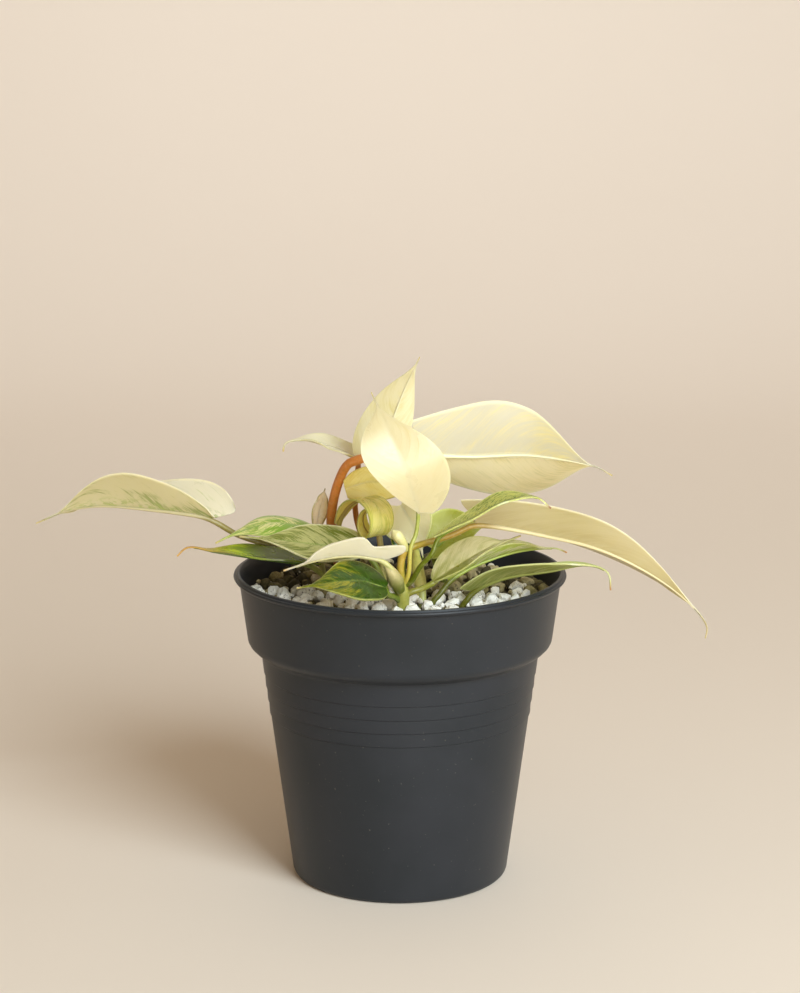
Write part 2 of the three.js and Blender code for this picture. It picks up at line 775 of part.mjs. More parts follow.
    rooted: true,
    color: STRIPED,
  },
  {
    name: "rim_right",
    rib: [
      [25.5, -19, 109.1], [37, -20, 114.1], [53, -21, 116.9], [66, -21, 119], [72.5, -21, 116.5],
      [73.5, -21, 110.5],
    ],
    face: [0, 0, 1],
    half: [6, 6],
    fold: [[15, 10], [60, 10]],
    stalk: [[20, -20, FOOT_DEPTH], [22, -20, 104.5], [23.7, -20, 106.8], [25.5, -19, 109.1]],
    rooted: true,
    color: STRIPED,
  },
];

// The plain holes in the filling that the rooted stalks stand in.
const holes = [hole(STEM_PATH, STEM_RADIUS, 5)];

function hole(path, radius, steps) {
  const [foot, ...rest] = path;
  const below = [foot[0], foot[1], foot[2] - CLEARANCE];
  return solidOf(tube([below, ...rest], (radius + CLEARANCE) / Math.cos(Math.PI / STALK_SIDES), steps));
}

for (const leaf of leaves) {
  const full = { ...PLAIN, ...leaf };
  add(full.name + "_blade", bladeGeometry(full), full.color, BLADE_ROUGHNESS);
  const gap = full.rooted ? 0 : CLEARANCE;
  let stalk = tube(full.stalk, full.radius, full.steps, gap, JOINT_GAP);
  if (full.sheath) stalk = geometryOf(solidOf(stalk).add(solidOf(spindle(...full.sheath))));
  add(full.name + "_stalk", stalk, full.stalkColor, STALK_ROUGHNESS);
  if (full.rooted) holes.push(hole(full.stalk, full.radius, full.steps));
}

function withHoles(geometry) {
  return geometryOf(holes.reduce((solid, hole) => solid.subtract(hole), solidOf(geometry)));
}

const stem = solidOf(tube(STEM_PATH, STEM_RADIUS, 5));
const node = solidOf(spindle(...NODE_SPAN, NODE_RADIUS));
add("main_stem", geometryOf(stem.add(node)), STALK_GREEN, STALK_ROUGHNESS);
add("upper_stem", tube(UPPER_STEM_PATH, UPPER_STEM_RADIUS, 6), STEM_YELLOW, STALK_ROUGHNESS);
const peg = solidOf(tube(SHOOT_PATH, SHOOT_RADIUS, 4));
const head = new THREE.SphereGeometry(SHOOT_HEAD_RADIUS, 8, 6).translate(...SHOOT_PATH.at(-1));
add("new_shoot", geometryOf(peg.add(solidOf(head))), SHOOT_YELLOW, STALK_ROUGHNESS);

add("pot", pot(), POT_GREY, 0.55);
add("potting_mix", withHoles(pottingMix()), MIX_BROWN, 0.95);
add("pumice_dressing", withHoles(grainBed()), PUMICE_WHITE, 0.9);

export default plant;
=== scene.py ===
"""Potted philodendron: a young variegated plant in a dark nursery pot topped with pumice grains.

Lengths in the tables are in millimetres. The origin is the middle of the pot's underside, +Z is up and
-Y is the front of the plant.
"""
import math
from dataclasses import dataclass

import bmesh
import bpy
import numpy as np
from bpy.props import FloatProperty, FloatVectorProperty, IntProperty, PointerProperty
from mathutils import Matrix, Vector


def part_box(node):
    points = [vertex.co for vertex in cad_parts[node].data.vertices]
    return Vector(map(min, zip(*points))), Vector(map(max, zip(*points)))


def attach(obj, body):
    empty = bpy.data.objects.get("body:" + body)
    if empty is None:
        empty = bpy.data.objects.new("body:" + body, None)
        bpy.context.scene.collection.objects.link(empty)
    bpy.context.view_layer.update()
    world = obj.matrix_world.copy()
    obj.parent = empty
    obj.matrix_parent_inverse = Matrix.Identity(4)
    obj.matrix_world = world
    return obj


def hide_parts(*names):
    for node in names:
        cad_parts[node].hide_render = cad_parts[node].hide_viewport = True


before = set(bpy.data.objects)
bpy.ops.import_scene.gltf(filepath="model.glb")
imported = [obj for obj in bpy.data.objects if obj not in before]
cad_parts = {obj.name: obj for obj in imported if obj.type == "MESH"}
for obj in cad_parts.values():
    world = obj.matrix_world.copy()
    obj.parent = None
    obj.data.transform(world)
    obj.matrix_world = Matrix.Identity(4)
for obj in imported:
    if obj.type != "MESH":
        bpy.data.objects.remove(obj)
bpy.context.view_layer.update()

bl_info = {
    "name": "Potted Philodendron",
    "version": (1, 0, 0),
    "blender": (4, 5, 0),
    "location": "3D View > Sidebar > Philodendron",
    "description": "Builds a variegated philodendron in its nursery pot",
    "category": "Add Mesh",
}

MM = 0.001
DEGREE = math.radians(1)
POT_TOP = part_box("pot")[1][2]
RIM_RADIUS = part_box("pot")[1][0]

# ---- the pot (millimetres) ----

COLLAR_HEIGHT = 28.7  # lip included
COLLAR_TOP_RADIUS = 58
BODY_TOP_RADIUS = 50.4
BODY_FOOT_RADIUS = 39.2
FLOOR = 2
RING_HEIGHTS = (60.8, 65.8, 70.8, 76)  # the four fine steps in the body
DRAIN_HOLES = 8
DRAIN_RADIUS = 3.5
DRAIN_CIRCLE = 27
DRILL_SIDES = 32
POT_EDGE_ANGLE = 38  # degrees; a sharper turn than this shows as an edge
# The rounded turns of the outside, as steps (out, up) from the foot, a ring, the body's top and the lip.
FOOT_TURN = ((-5, 0.9), (-3.4, 0.1), (-1.7, 0), (-0.8, 0.35), (-0.15, 1.0), (0.2, 1.9))
RING_TURN = ((-0.22, -0.55), (-0.2, -0.2), (0.16, 0.1), (0.2, 0.5))
SHOULDER_TURN = ((-0.1, -1.2), (0, -0.5), (0.35, -0.05), (1.3, 0.55), (2.9, 1.5), (4.1, 2.7), (4.65, 3.8),
                 (4.85, 5))
LIP_TURN = ((-2, -2.9), (-1.85, -2.45), (-0.7, -2.3), (-0.25, -1.9), (0, -1.35), (-0.15, -0.9), (-0.8, -0.75),
            (-0.9, -0.6), (-1.15, -0.15), (-1.7, 0), (-2.1, -0.1), (-2.4, -0.5))

# ---- the filling (millimetres, but for shares) ----

GRAIN_BED = ((0, 97.9), (54.6, 97.9), (55.6, 101.5), (0, 101.8))  # (radius, height) of its section
GRAIN_LAYERS = {  # height, radius, grain size as a share, spacing, how much paler the front is
    "grains_low": (102, 54, 0.95, 3.6, 0.2),
    "grains_top": (104.2, 53.4, 1.05, 5, 0.8),
    "grains_small": (104.4, 54.4, 0.5, 6, 0.6),
}
GRAIN_BED_SIDES = 96
GRAIN_LAYER_SIDES = 48
GRAIN_DENSITY = 9e4  # the most grains in a square metre
GRAIN_SHAPES = ((0.72, 0.72, 0.6), (1.35, 1.2, 1.0))  # least and most stretch
TONE_SPREAD = 0.68
FRONT_BAND = 12  # either side of the axis, over which the grains turn paler
LUMP_SCALE = 380.0  # lumps on a grain, in a metre
LUMP_HEIGHT = 0.9
GRAIN_VALLEYS = (102.2, 104.6)  # heights between which the shade between the grains fades

# ---- where the plant grows (millimetres) ----

SEAT = 0.95  # from the rib points, under the midrib, up to the blade's middle surface
DRIP_HALF_WIDTH = 0.55  # half width of the thin tail at a blade's tip
NARROW_BLADE = 3  # below this half width a blade flattens out
WAIST_PLACE = 0.13  # share of the length at which a waisted blade is narrowest
WAIST_REACH = 0.08
VEIN_SLANT = 0.3  # how far a side vein runs towards the tip, as a share of the blade's length
BLADE_ROWS = 72
BLADE_COLUMNS = 26
MARGIN_CROWDING = 1.25  # how much closer the columns are at the margin
BLADE_EDGE_ANGLE = 55  # degrees
GROOVE_WIDTH = 0.8
QUILT_HEIGHT = 0.015  # between the side veins, as a share
STALK_STEPS = 36
KEEL_STEPS = 30  # along the whole midrib
KEEL_SPAN = slice(1, 27)  # the steps on which the stalk shows under the blade
KEEL_SINK = 0.45  # below the blade's middle surface
KEEL_GIRTHS = (0.85, 0.18)  # at most at the joint, at the tip
JOINT_ROUNDS = 4  # how often the turn at the joint is evened out
FOOT_DEPTH = 94.5  # height at which the rooted stalks end, inside the mix

SCROLL_ARCH = [(-19, -5), (-13, 2), (-6, 5.8)]  # ahead of the roll's centre, above it
SCROLL_STEPS = 11
SCROLL_START = 85  # degrees
SCROLL_TURN = 47  # degrees from one step to the next
SCROLL_RADIUS = 6.2
SCROLL_TIGHTENING = 0.42


def scroll(centre, ahead):
    """A rolled blade's midrib: it climbs an arch, then turns over itself and tightens."""
    path = list(SCROLL_ARCH)
    for step in range(SCROLL_STEPS):
        angle = math.radians(SCROLL_START - SCROLL_TURN * step)
        radius = SCROLL_RADIUS - SCROLL_TIGHTENING * step
        path.append((radius * math.cos(angle), radius * math.sin(angle)))
    (x, y, z), (ahead_x, ahead_y) = centre, ahead
    return [[x + ahead_x * out, y + ahead_y * out, z + above] for out, above in path]


HALF_INPUTS = ("Half", "Widest", "Lobe", "Fold", "Tip Fold")  # each for the left and for the right half
BLADE_INPUTS = ("Lobe Reach", "Lobe Round", "Ear", "Start", "Drip", "Waist", "Cup", "Wave", "Waves", "Groove")


@dataclass
class Leaf:
    """A leaf's measures, in millimetres and degrees. rib runs from the blade's joint to its tip, and face is
    the way the upper side looks at the joint. half, widest and lobe are [left, right]. fold is the angle at
    which each half rises from flat, at the joint and at the tip, or one angle for all four. stalk runs up to
    the joint: its first point has no height if it is rooted in the mix, and lies inside the stem if not."""
    name: str
    slot: str
    rib: list
    half: list
    stalk: list
    face: list = (0, 0, 1)
    fold: float = 10
    joint: list = None  # the stalk's end, where it isn't the rib's first point
    radius: float = 1.1
    keel: float = 0.72  # how thick the stalk goes on under the blade, as a share of its radius
    twist: float = 0
    cup: float = 10
    lobe: tuple = (3, 3)
    lobe_reach: float = 0.3
    lobe_round: float = 1
    ear: float = 0
    start: float = 0.05
    widest: tuple = (0.36, 0.36)
    drip: float = 0.1
    waist: float = 0
    wave: float = 0.4
    waves: float = 2
    groove: float = 0.14

    def __post_init__(self):
        if not isinstance(self.fold, list):
            self.fold = [[self.fold] * 2] * 2
        foot, *route = self.stalk
        self.stalk = [(*foot, FOOT_DEPTH)[:3], *route, self.joint or self.rib[0]]

    def inputs(self):
        """What the blade's recipe takes from the leaf."""
        values = {label: getattr(self, label.lower().replace(" ", "_")) for label in BLADE_INPUTS}
        for hand, side in enumerate(("Left ", "Right ")):
            measures = (self.half[hand], self.widest[hand], self.lobe[hand], *self.fold[hand])
            values.update(zip((side + label for label in HALF_INPUTS), measures))
        return values


LEAVES = [
    Leaf("far_left", "cream_blade", rib=[[-67, 4, 130.5], [-87, 3, 133.5], [-108, 2, 135.5], [-120, 1, 134],
         [-131, 0, 130]], face=[0, 0.15, 1], half=[12.5, 14.8], fold=[[60, 15], [72, 70]], twist=85,
         lobe=[0, 7], lobe_reach=0.6, lobe_round=2, ear=1, widest=[0.52, 0.3], start=0.01,
         stalk=[[-14, 18], [-15, 18, 104.5], [-24, 16, 111.5], [-47, 8, 120], [-61, 6, 125.5]]),
    Leaf("left_upper", "green_blade", rib=[[-32, 4, 126.5], [-45, 2, 129], [-57, 0, 126.5], [-66, -2, 122.5]],
         face=[0, -0.25, 1], half=[10, 8], fold=5, cup=-25, lobe=[3, 0],
         stalk=[[-12, 0], [-13, 0, 104.5], [-20, 2, 116.5]]),
    Leaf("left_middle", "green_blade", rib=[[-13.5, -12, 123.5], [-28, -14, 124.5], [-44, -14, 126.5],
         [-57, -13, 127.5]], face=[0, -0.35, 0.94], half=[9, 9.5], fold=[[-10, -10], [15, 15]], lobe=[2, 1],
         stalk=[[-4, -14], [-4.5, -14, 106.5], [-8, -13, 116.5]]),
    Leaf("left_low", "green_blade", rib=[[-32, 0, 114.5], [-50, -2, 117], [-66, -3, 119.5], [-76, -3, 121],
         [-79.5, -3, 118]], face=[0, -0.05, 1], half=[9, 9],
         stalk=[[-22, -5], [-23, -5, 104.5], [-27, -2, 110.5]]),
    Leaf("front_left", "cream_blade", rib=[[-5.6, -34, 124], [-17, -36, 126], [-28, -38, 125],
         [-40, -38, 121]], face=[0, 0.1, 1], half=[8, 7.5], fold=[[62, 40], [28, 35]], lobe=[6.5, 0],
         lobe_reach=0.13, lobe_round=1.5, ear=1, start=0.2, waist=0.45, widest=[0.4, 0.4],
         stalk=[[0.8, -27.6, 111.5], [-0.8, -30.2, 114.4], [-1.6, -32, 118.5], [-3.5, -34, 122]]),
    Leaf("front_low", "green_blade", rib=[[-5.4, -35, 114.2], [-13.4, -38.8, 117.5], [-23, -42, 118],
         [-35.5, -42, 116]], face=[0, -0.5, 0.87], half=[9.5, 10.6], fold=8, cup=-15, lobe=[0, 1.5],
         start=0.02,
         stalk=[[0.6, -27, 108], [-1.9, -29, 110.3], [-3.6, -31.8, 111.4]]),
    Leaf("centre_front", "cream_blade", rib=[[6.5, -26, 140], [1.8, -31, 155.5], [-4.2, -27, 169.5],
         [-10, -18, 180.5]], face=[0.1, -0.9, 0.35], half=[12.5, 14.8], fold=6, radius=0.75, groove=0.02,
         cup=-8, lobe=[0, 2], start=0.015, widest=[0.6, 0.32],
         stalk=[[1.6, -27.6, 114.8], [3, -29, 118.5], [3.8, -28.5, 128], [5.6, -26.5, 132.5]],
         joint=[6.5, -25.9, 140]),
    Leaf("upright", "cream_blade", rib=[[-9, 3.4, 154.5], [-3.6, 7, 164.5], [1.4, 7.6, 177], [7, 4.6, 189.5]],
         face=[0.1, 0.95, 0.2], half=[8.5, 11], fold=15, groove=0.04, keel=0.2, lobe=[1, 3],
         widest=[0.28, 0.28], drip=0.02, radius=1.8,
         stalk=[[-20, 10], [-22.6, 10, 114.5], [-25, 9, 128.5], [-22, 6, 144.5], [-17.3, 1.6, 152.5]],
         joint=[-9, 1.3, 154.1]),
    Leaf("left_high", "cream_blade", rib=[[-14, 16, 149.5], [-25.5, 18, 154], [-34.5, 18, 156.5],
         [-41, 16, 155.7], [-41.7, 15.8, 153.2]], half=[9.5, 9.5], fold=5,
         stalk=[[-8, 18], [-9, 18, 108.5], [-16, 17, 128.5], [-15.6, 16, 145.5]]),
    Leaf("golden", "golden_blade", rib=[[-20, 4.3, 142], [-11, 6.2, 144], [0, 5.4, 143], [12, 4.4, 140]],
         face=[0, -1, 0.15], half=[6, 7.5], lobe=[0, 0],
         stalk=[[-6, 10], [-6.5, 11, 113.5], [-11, 12, 136.5], [-18, 9.5, 142.2]]),
    Leaf("rolled", "green_blade", rib=scroll([-10.5, -10.5, 133.6], [0.62, -0.78]), face=[-0.45, 0.57, 0.68],
         half=[5.5, 5.5], fold=0, cup=4, lobe=[0, 0], widest=[0.5, 0.5], drip=0.02, wave=0,
         stalk=[[-15, 7], [-18, 7, 108.5], [-23, 5.5, 120.5]], joint=[-22.3, 4.3, 128.6]),
    Leaf("folded_small", "cream_blade", rib=[[-30.7, 15, 124], [-29.9, 15, 130], [-27.3, 15, 140]],
         face=[0.1, -1, 0.1], half=[4.5, 4.5], fold=[[20, 10], [20, 10]], cup=70, lobe=[0, 0], start=0.16,
         widest=[0.6, 0.6], drip=0.03, wave=0,
         stalk=[[-27, 24], [-29, 21, 110.5], [-30.7, 16, 120.5]]),
    Leaf("dark_back", "green_blade", rib=[[4.4, 11, 119], [-0.7, 11, 125.5], [-6, 11, 130]],
         face=[0, -0.9, 0.4], half=[6, 6],
         stalk=[[8, 15], [7, 14, 108.5]]),
    Leaf("centre_back", "cream_blade", rib=[[0.7, -3, 137.5], [4.2, -6, 132.5], [7.1, -8, 126],
         [8.5, -9, 119.5]], face=[-0.3, -1, 0.1], half=[9, 10.5], fold=5,
         stalk=[[2, 4], [1, 4, 113.5], [-0.5, 3, 128.5]]),
    Leaf("speckled", "green_blade", rib=[[13.2, -30, 131.9], [24.3, -32, 138], [38, -30, 144.3],
         [47, -28, 144.9], [52, -28, 141.1]], face=[-0.3, -0.25, 0.9], half=[5.5, 5.5], fold=[[15, 10],
         [15, 10]], widest=[0.6, 0.6], start=0.05, lobe=[1, 1], radius=0.9,
         stalk=[[1.4, -27, 113.5], [3.8, -28, 115.5], [7, -31, 121.5], [11, -32, 126.5]]),
    Leaf("small_green", "green_blade", rib=[[12, 2, 119.8], [19, 3, 124.5], [28, 4, 128], [35, 4, 129.4]],
         face=[0, -1, 0.3], half=[11, 5.5], fold=[[8, 8], [10, 10]], lobe=[2, 2],
         stalk=[[16, 5], [15.5, 5, 108.5], [12.8, 3.5, 114.5]]),
    Leaf("drooping", "cream_blade", rib=[[26.5, -16, 133.5], [49.5, -18, 129.5], [70.5, -22, 125],
         [90, -24, 115.5], [102, -24, 106], [108.2, -23, 97.5], [108, -22, 93]], face=[0, 0.9, 0.44],
         half=[11, 11], fold=[[60, 15], [30, 20]], lobe=[3, 6.5], start=0.1, widest=[0.38, 0.38],
         stalk=[[1.2, -28, 126], [4.2, -27, 127.5], [9, -24, 128.5], [17.6, -20, 130.1]]),
    Leaf("high_right", "cream_blade", rib=[[9, 12, 152.5], [25.5, 16, 151], [47.5, 18, 151], [71, 14, 147.5],
         [77, 13, 144.5]], face=[0, 0.95, 0.3], half=[21, 20.5], fold=[[10, 10], [15, 15]],
         widest=[0.62, 0.5], start=0.18, lobe=[6, 6], radius=1.4,
         stalk=[[7.5, -11], [8, -10, 104.5], [6.5, -4, 114.5], [5.5, 2, 122.5], [5.5, 6, 134.5],
         [6.5, 9, 145.5]]),
    Leaf("right_middle", "cream_blade", rib=[[12, -22, 113.5], [21, -20, 118.5], [32, -16, 124],
         [43, -12, 127.5]], face=[-0.2, -0.3, 0.95], half=[8.4, 3.5], fold=[[35, 25], [0, 0]],
         widest=[0.44, 0.36], lobe=[0, 0], start=0.02,
         stalk=[[1.4, -26.6, 110], [4.4, -26.5, 111.5], [7, -25.5, 112]]),
    Leaf("right_low", "green_blade", rib=[[17.5, -12, 111.5], [28.5, -8, 116.5], [43, -3, 119.9],
         [56, 2, 119.5], [60, 4, 117.5]], half=[9, 9], fold=[[25, 20], [40, 30]],
         stalk=[[9, -16], [11.7, -15, 104.5], [14.2, -14, 107.5]]),
    Leaf("rim_right", "green_blade", rib=[[25.5, -19, 109.1], [37, -20, 114.1], [53, -21, 116.9],
         [66, -21, 119], [72.5, -21, 116.5], [73.5, -21, 110.5]], half=[6, 6], fold=[[15, 10], [60, 10]],
         stalk=[[20, -20], [22, -20, 104.5], [23.7, -20, 106.8]]),
]

STEM = {"path": [[1, -26, FOOT_DEPTH], [1.1, -26, 102.5], [1, -26.5, 107.5], [1, -27, 112],
                 [1, -27.2, 115.3]],
        "girth": [2.2, 2.1, 2.1, 2.45, 1.4]}
UPPER_STEM = {"path": [[1, -27.1, 114.6], [0.2, -28, 119.5], [0.5, -28, 123.5], [1.5, -28, 127]],
              "girth": [1.6, 1.35, 1.3, 1.5]}
SHOOT = {"path": [[2, -28.6, 126.8], [1.5, -29.2, 128.4], [0.3, -29.8, 130.6], [-0.8, -30.1, 132.2],
                  [-1.5, -30.2, 133.1], [-2.1, -30.3, 133.9], [-2.5, -30.4, 134.5]],
         "girth": [0.9, 1.4, 1.7, 1.9, 2.0, 1.8, 0.3]}
SHEATHS = {
    "front_left": {"path": [[0, -29.6, 112.6], [-1.6, -31.6, 117], [-3.2, -33, 120.4], [-5, -34, 123.4]],
                   "girth": [1.9, 2.75, 2.1, 1.0], "tones": ("626A14", "C9BA84")},
    "high_right": {"path": [[7.7, -9.4, 105], [7.2, -6.6, 110], [6.4, -4, 114.6], [5.6, -0.5, 120]],
                   "girth": [1.6, 2.3, 2.2, 1.2], "tones": ("DCD87E", "D2CE6C")},
}

# ---- colours, as seen in plain daylight, but for the painted shade and light noted below ----


def paint(code):
    """A linear colour from its six-digit screen code."""
    parts = [int(code[i:i + 2], 16) / 255 for i in (0, 2, 4)]
    return [part / 12.92 if part <= 0.04045 else ((part + 0.055) / 1.055) ** 2.4 for part in parts]


@dataclass
class Look:
    """A leaf's colours. upper and under give the ground, the patches, how much of the face those cover (0 to
    1), and the right half's ground where it differs. stalk has the colours at the foot and at the joint."""
    upper: tuple
    under: tuple
    margin: str = "E6DDA6"
    midrib: str = "DCD898"
    tip: str = "C9B676"
    keel: str = ""  # the midrib from below, or else the ground there
    stalk: tuple = ("74862A", "8C9A3C")
    rib: float = 0.6  # how strongly the midrib shows
    streak: float = 1.0  # how strongly the patches follow the side veins
    soft: float = 0.045  # how blurred their edges are
    base: tuple = (0.0, 0.0)  # how much more of them there is near the joint, left and right
    fade: float = 0.92  # where the tip's colour starts
    flecks: float = 0.0  # share of dark dashes
    lining: float = 0.0  # dashes along the midrib
    veins: float = 0.05  # how strongly the side veins show


LOOKS = {
    "far_left": Look(("D4CDB4", "BABB8C", 0.1), ("B6AB81", "888C50", 0.3), midrib="B0B070", margin="E9DFB8",
         tip="B9A66C", streak=0.5, lining=0.7, stalk=("5C682A", "897B3E")),
    "left_upper": Look(("8BAF37", "E7E597", 0.4), ("9DB457", "D3D79A", 0.3), margin="D3D593",
         midrib="B6C66C", soft=0.03, veins=0.1),
    "left_middle": Look(("727A2F", "B5B276", 0.5), ("6E8A3A", "A9B56D", 0.2), margin="DFDDAB",
         midrib="8FA14F", flecks=0.2, veins=0.1),
    "left_low": Look(("79900F", "B5C419", 0.3), ("5A7826", "8CA54B", 0.2), margin="7F8C40", midrib="7C8E3C",
         tip="C2924E", veins=0.08, fade=0.5, rib=0.4, stalk=("8C9A3C", "A9B05A")),
    "front_left": Look(("C7C097", "B5B478", 0.05), ("DAD2B6", "CBC69B", 0.05), keel="B8B07C",
         margin="EFE4C6", midrib="DDD9AE", tip="C9A26C", veins=0.02, stalk=("B9B860", "C6C27C")),
    "front_low": Look(("938E23", "2B4905", 0.42), ("9BAF58", "5F8433", 0.3), margin="B9BC72",
         midrib="7F9040", flecks=0.7, streak=0.8, base=(0.75, 0.55), rib=0.35, stalk=("5E701C", "7B882C")),
    "centre_front": Look(("D1C59E", "CCBC8C", 0.15), ("F2EAC6", "E0DDA2", 0.12), rib=0.05, soft=0.12,
         margin="DDD2A6", midrib="D9D2A0", veins=0.02, stalk=("C9B64C", "A3AA4E")),
    "upright": Look(("F1E7BC", "E2DEA4", 0.1), ("E0D6B0", "D3C78E", 0.25), rib=0.0, margin="E2D8A8",
         midrib="E8DCA4", soft=0.12, veins=0.02, stalk=("BB702D", "E08D42")),
    "left_high": Look(("F7EAC2", "F7EDB2", 0.1), ("EDE3BC", "DCD5A0", 0.1), tip="C7A971", soft=0.1,
         veins=0.03, stalk=("A89640", "C8782E")),
    "golden": Look(("F0D988", "DFC25E", 0.3), ("E3CE84", "CDB054", 0.2), rib=0.3, margin="D6C068",
         midrib="CDB768", soft=0.12, veins=0.03, stalk=("D2CB80", "E2CB88")),
    "rolled": Look(("EEE38B", "C8C75B", 0.35), ("F7EA8E", "ECD774", 0.3), margin="A9AE58", midrib="BDBE6A",
         veins=0.06, keel="B79F5C", base=(0.5, 0.5), rib=0.35, stalk=("CDB65A", "C9B458")),
    "folded_small": Look(("F7E0C4", "F7DBB3", 0.3), ("EBDCC0", "D2C498", 0.3), rib=0.3, margin="A39A5C",
         midrib="CDBF92", soft=0.1, tip="8A8048", stalk=("A9B060", "C0BE80")),
    "dark_back": Look(("5E8A2A", "2F5A1A", 0.4), ("4C7524", "2F5A1A", 0.3), margin="A9B85A",
         midrib="86A046"),
    "centre_back": Look(("F7E8BB", "F7ECA5", 0.12), ("F3EBC6", "DAD996", 0.15), rib=0.3, margin="CBD37E",
         midrib="E3E0AA", tip="8FA845", soft=0.1, veins=0.03),
    "speckled": Look(("B9B96A", "5B7524", 0.2), ("7E9A20", "55801C", 0.4), margin="C9D07F", midrib="8BA04A",
         flecks=0.9, tip="7A3A24", veins=0.08, stalk=("5E6802", "636D02")),
    "small_green": Look(("ADB44B", "E4C8A2", 0.12), ("86A63B", "B9CA70", 0.2), margin="C7D07C",
         midrib="B7C76A", veins=0.1),
    "drooping": Look(("D6CBA0", "CABD84", 0.2), ("B5A87A", "AB9C6A", 0.2), margin="EFE4C0", midrib="E6D7A8",
         tip="CBB880", soft=0.12, veins=0.03, keel="E3D4A4", stalk=("988325", "AA8931")),
    # high_right's under face: the darker, greyer right (upper) half ground is painted shade and the lighter
    # lower half ground painted light, evening out how the key light falls on the two halves.
    "high_right": Look(("F3EBC6", "E6DDA8", 0.2), ("F4E1B6", "D4C78E", 0.25, "C2BCA4"), rib=0.8, streak=0.4,
         margin="EFE6BC", midrib="F3EBC8", tip="CDB880", soft=0.12, veins=0.03, keel="F1E8BE",
         stalk=("C6CC7C", "AEBB60")),
    "right_middle": Look(("C6BD90", "868838", 0.2), ("B9B468", "9A9A40", 0.3), margin="B7B872",
         midrib="8E8A38", veins=0.02, soft=0.14, base=(0.2, 2.2), streak=0.1, rib=0.85,
         stalk=("8F8A35", "83842C")),
    "right_low": Look(("ECEEB4", "A8BC60", 0.3), ("BAC95D", "F1ECC7", 0.3), margin="CFD48C",
         midrib="9DB055", tip="A36A3C", veins=0.12, stalk=("535915", "64671B")),
    "rim_right": Look(("BCC878", "D9DDA0", 0.35), ("838741", "A1A064", 0.3), flecks=0.35, margin="CBD090",
         midrib="D3D99A", tip="9A6A3A", veins=0.12, stalk=("4E510D", "5F6010")),
}

STEM_PIECES = (  # piece, node, shape, colours at the foot and the top, slot
    ("stem_and_node", "main_stem", STEM, ("7C8834", "A4A24A"), "green_stalk"),
    ("stem_above_node", "upper_stem", UPPER_STEM, ("9C9838", "B89838"), "yellow_shoot"),
    ("shoot_tip", "new_shoot", SHOOT, ("CCC67C", "DCD498"), "yellow_shoot"),
)

FLECK = "46691F"  # the dark dashes on a blade
LINING = "8A9648"
STALK_FLECKS = ("E3DFA6", "5B6B1E")
PLASTIC_CLOUD = "2C2F34"
DUST = "8C867A"
GRAIN_SHADE = "4A432A"  # darker than the weathered grains
SPECK = "3A3022"
# painted shade, low down between the grains
PAINTED_SHADE_BETWEEN_GRAINS = "2E2614"
MIX_TONES = ("1E1710", "3A2C1C", "5E4A30")
PAPER_CLOUD = "F0E4D6"

# ---- the stage (metres and degrees) ----

LIGHTS = {  # size, place, what it looks at, tint, spread
    "key": (0.85, (0.72, -1.17, 0.97), (0, 0, 0.1), (0.82, 0.93, 1), 180),
    "fill": (0.8, (0.45, -1.2, 0.12), (0, 0, 0.12), (1, 0.96, 0.9), 70),
    "wall": (1.6, (0, 1.0, 2.1), (0, 2.1, 0.4), (0.9, 0.95, 1), 110),
}
SKY_TINT = (1, 0.76, 0.5, 1)
SKY_STRENGTH = 0.3
CAMERA_HEIGHT = 0.3355
CAMERA_TILT = 12.1  # down from level
SWEEP_FRONT = -3.0
SWEEP_BEND = 0.9  # where the floor starts to rise
SWEEP_RADIUS = 0.8
SWEEP_TOP = 4.0
SWEEP_HALF_WIDTH = 4

# ---- values that a user would change ----


def length(label, words, default):
    return FloatProperty(name=label, description=words, default=default, unit="LENGTH", precision=4)


def number(label, words, default, **more):
    return FloatProperty(name=label, description=words, default=default, min=0, **more)


def count(label, words, default, **more):
    return IntProperty(name=label, description=words, default=default, **more)


def colour(label, words, code):
    return FloatVectorProperty(name=label, description=words, subtype="COLOR", size=3, min=0, max=1,
                               default=paint(code))


class PotSettings(bpy.types.PropertyGroup):
    rim_radius: length("Rim Radius", "Outside of the rolled lip", RIM_RADIUS)
    height: length("Height", "From the foot to the top of the lip", POT_TOP)
    wall: length("Wall", "Thickness of the moulded wall", 0.0015)
    plastic: colour("Plastic", "Colour of the moulded pot", "262A2E")
    sides: count("Sides", "Faces round the pot", 160, min=24, max=256)


class PlantSettings(bpy.types.PropertyGroup):
    blade: length("Blade Thickness", "Thickness of a leaf blade", 0.0006)
    veins: count("Side Veins", "Side veins in each half of a blade", 11, min=3, max=30)
    gloss: number("Leaf Roughness", "Roughness of the upper face", 0.29, max=1, subtype="FACTOR")
    sides: count("Stalk Sides", "Faces round a stalk", 14, min=6, max=32)


class GrainSettings(bpy.types.PropertyGroup):
    size: length("Grain Radius", "Mean radius of a pumice grain", 0.0024)
    seed: count("Seed", "Draw of the grains", 4, min=0)
    white: colour("White Pumice", "Palest grains", "FBF8EE")
    beige: colour("Beige Pumice", "Middling grains", "BFB184")
    olive: colour("Weathered Grains", "Darkest grains", "857A4C")


class StageSettings(bpy.types.PropertyGroup):
    backdrop: colour("Backdrop", "Floor and wall behind the plant", "F4E9DC")
    floor: colour("Floor", "Floor under the plant", "F1E5D6")
    key: number("Key Light", "Power of the large soft light", 26.5, unit="POWER")
    fill: number("Fill Light", "Power of the light in front", 2.2, unit="POWER")
    wall: number("Wall Light", "Power of the light on the backdrop", 6.9, unit="POWER")
    distance: length("Camera Distance", "From the pot's axis to the camera", 0.912)
    lens: number("Lens", "Focal length of the camera", 94.26, unit="CAMERA")


# ---- nodes ----


def sum_of(operation, swapped=False):
    """A method that wires its socket, and what it is given, into a new Math node."""
    def method(self, *others):
        values = (*others, self) if swapped else (self, *others)
        return self.bench.wire("ShaderNodeMath", values, operation=operation)
    return method


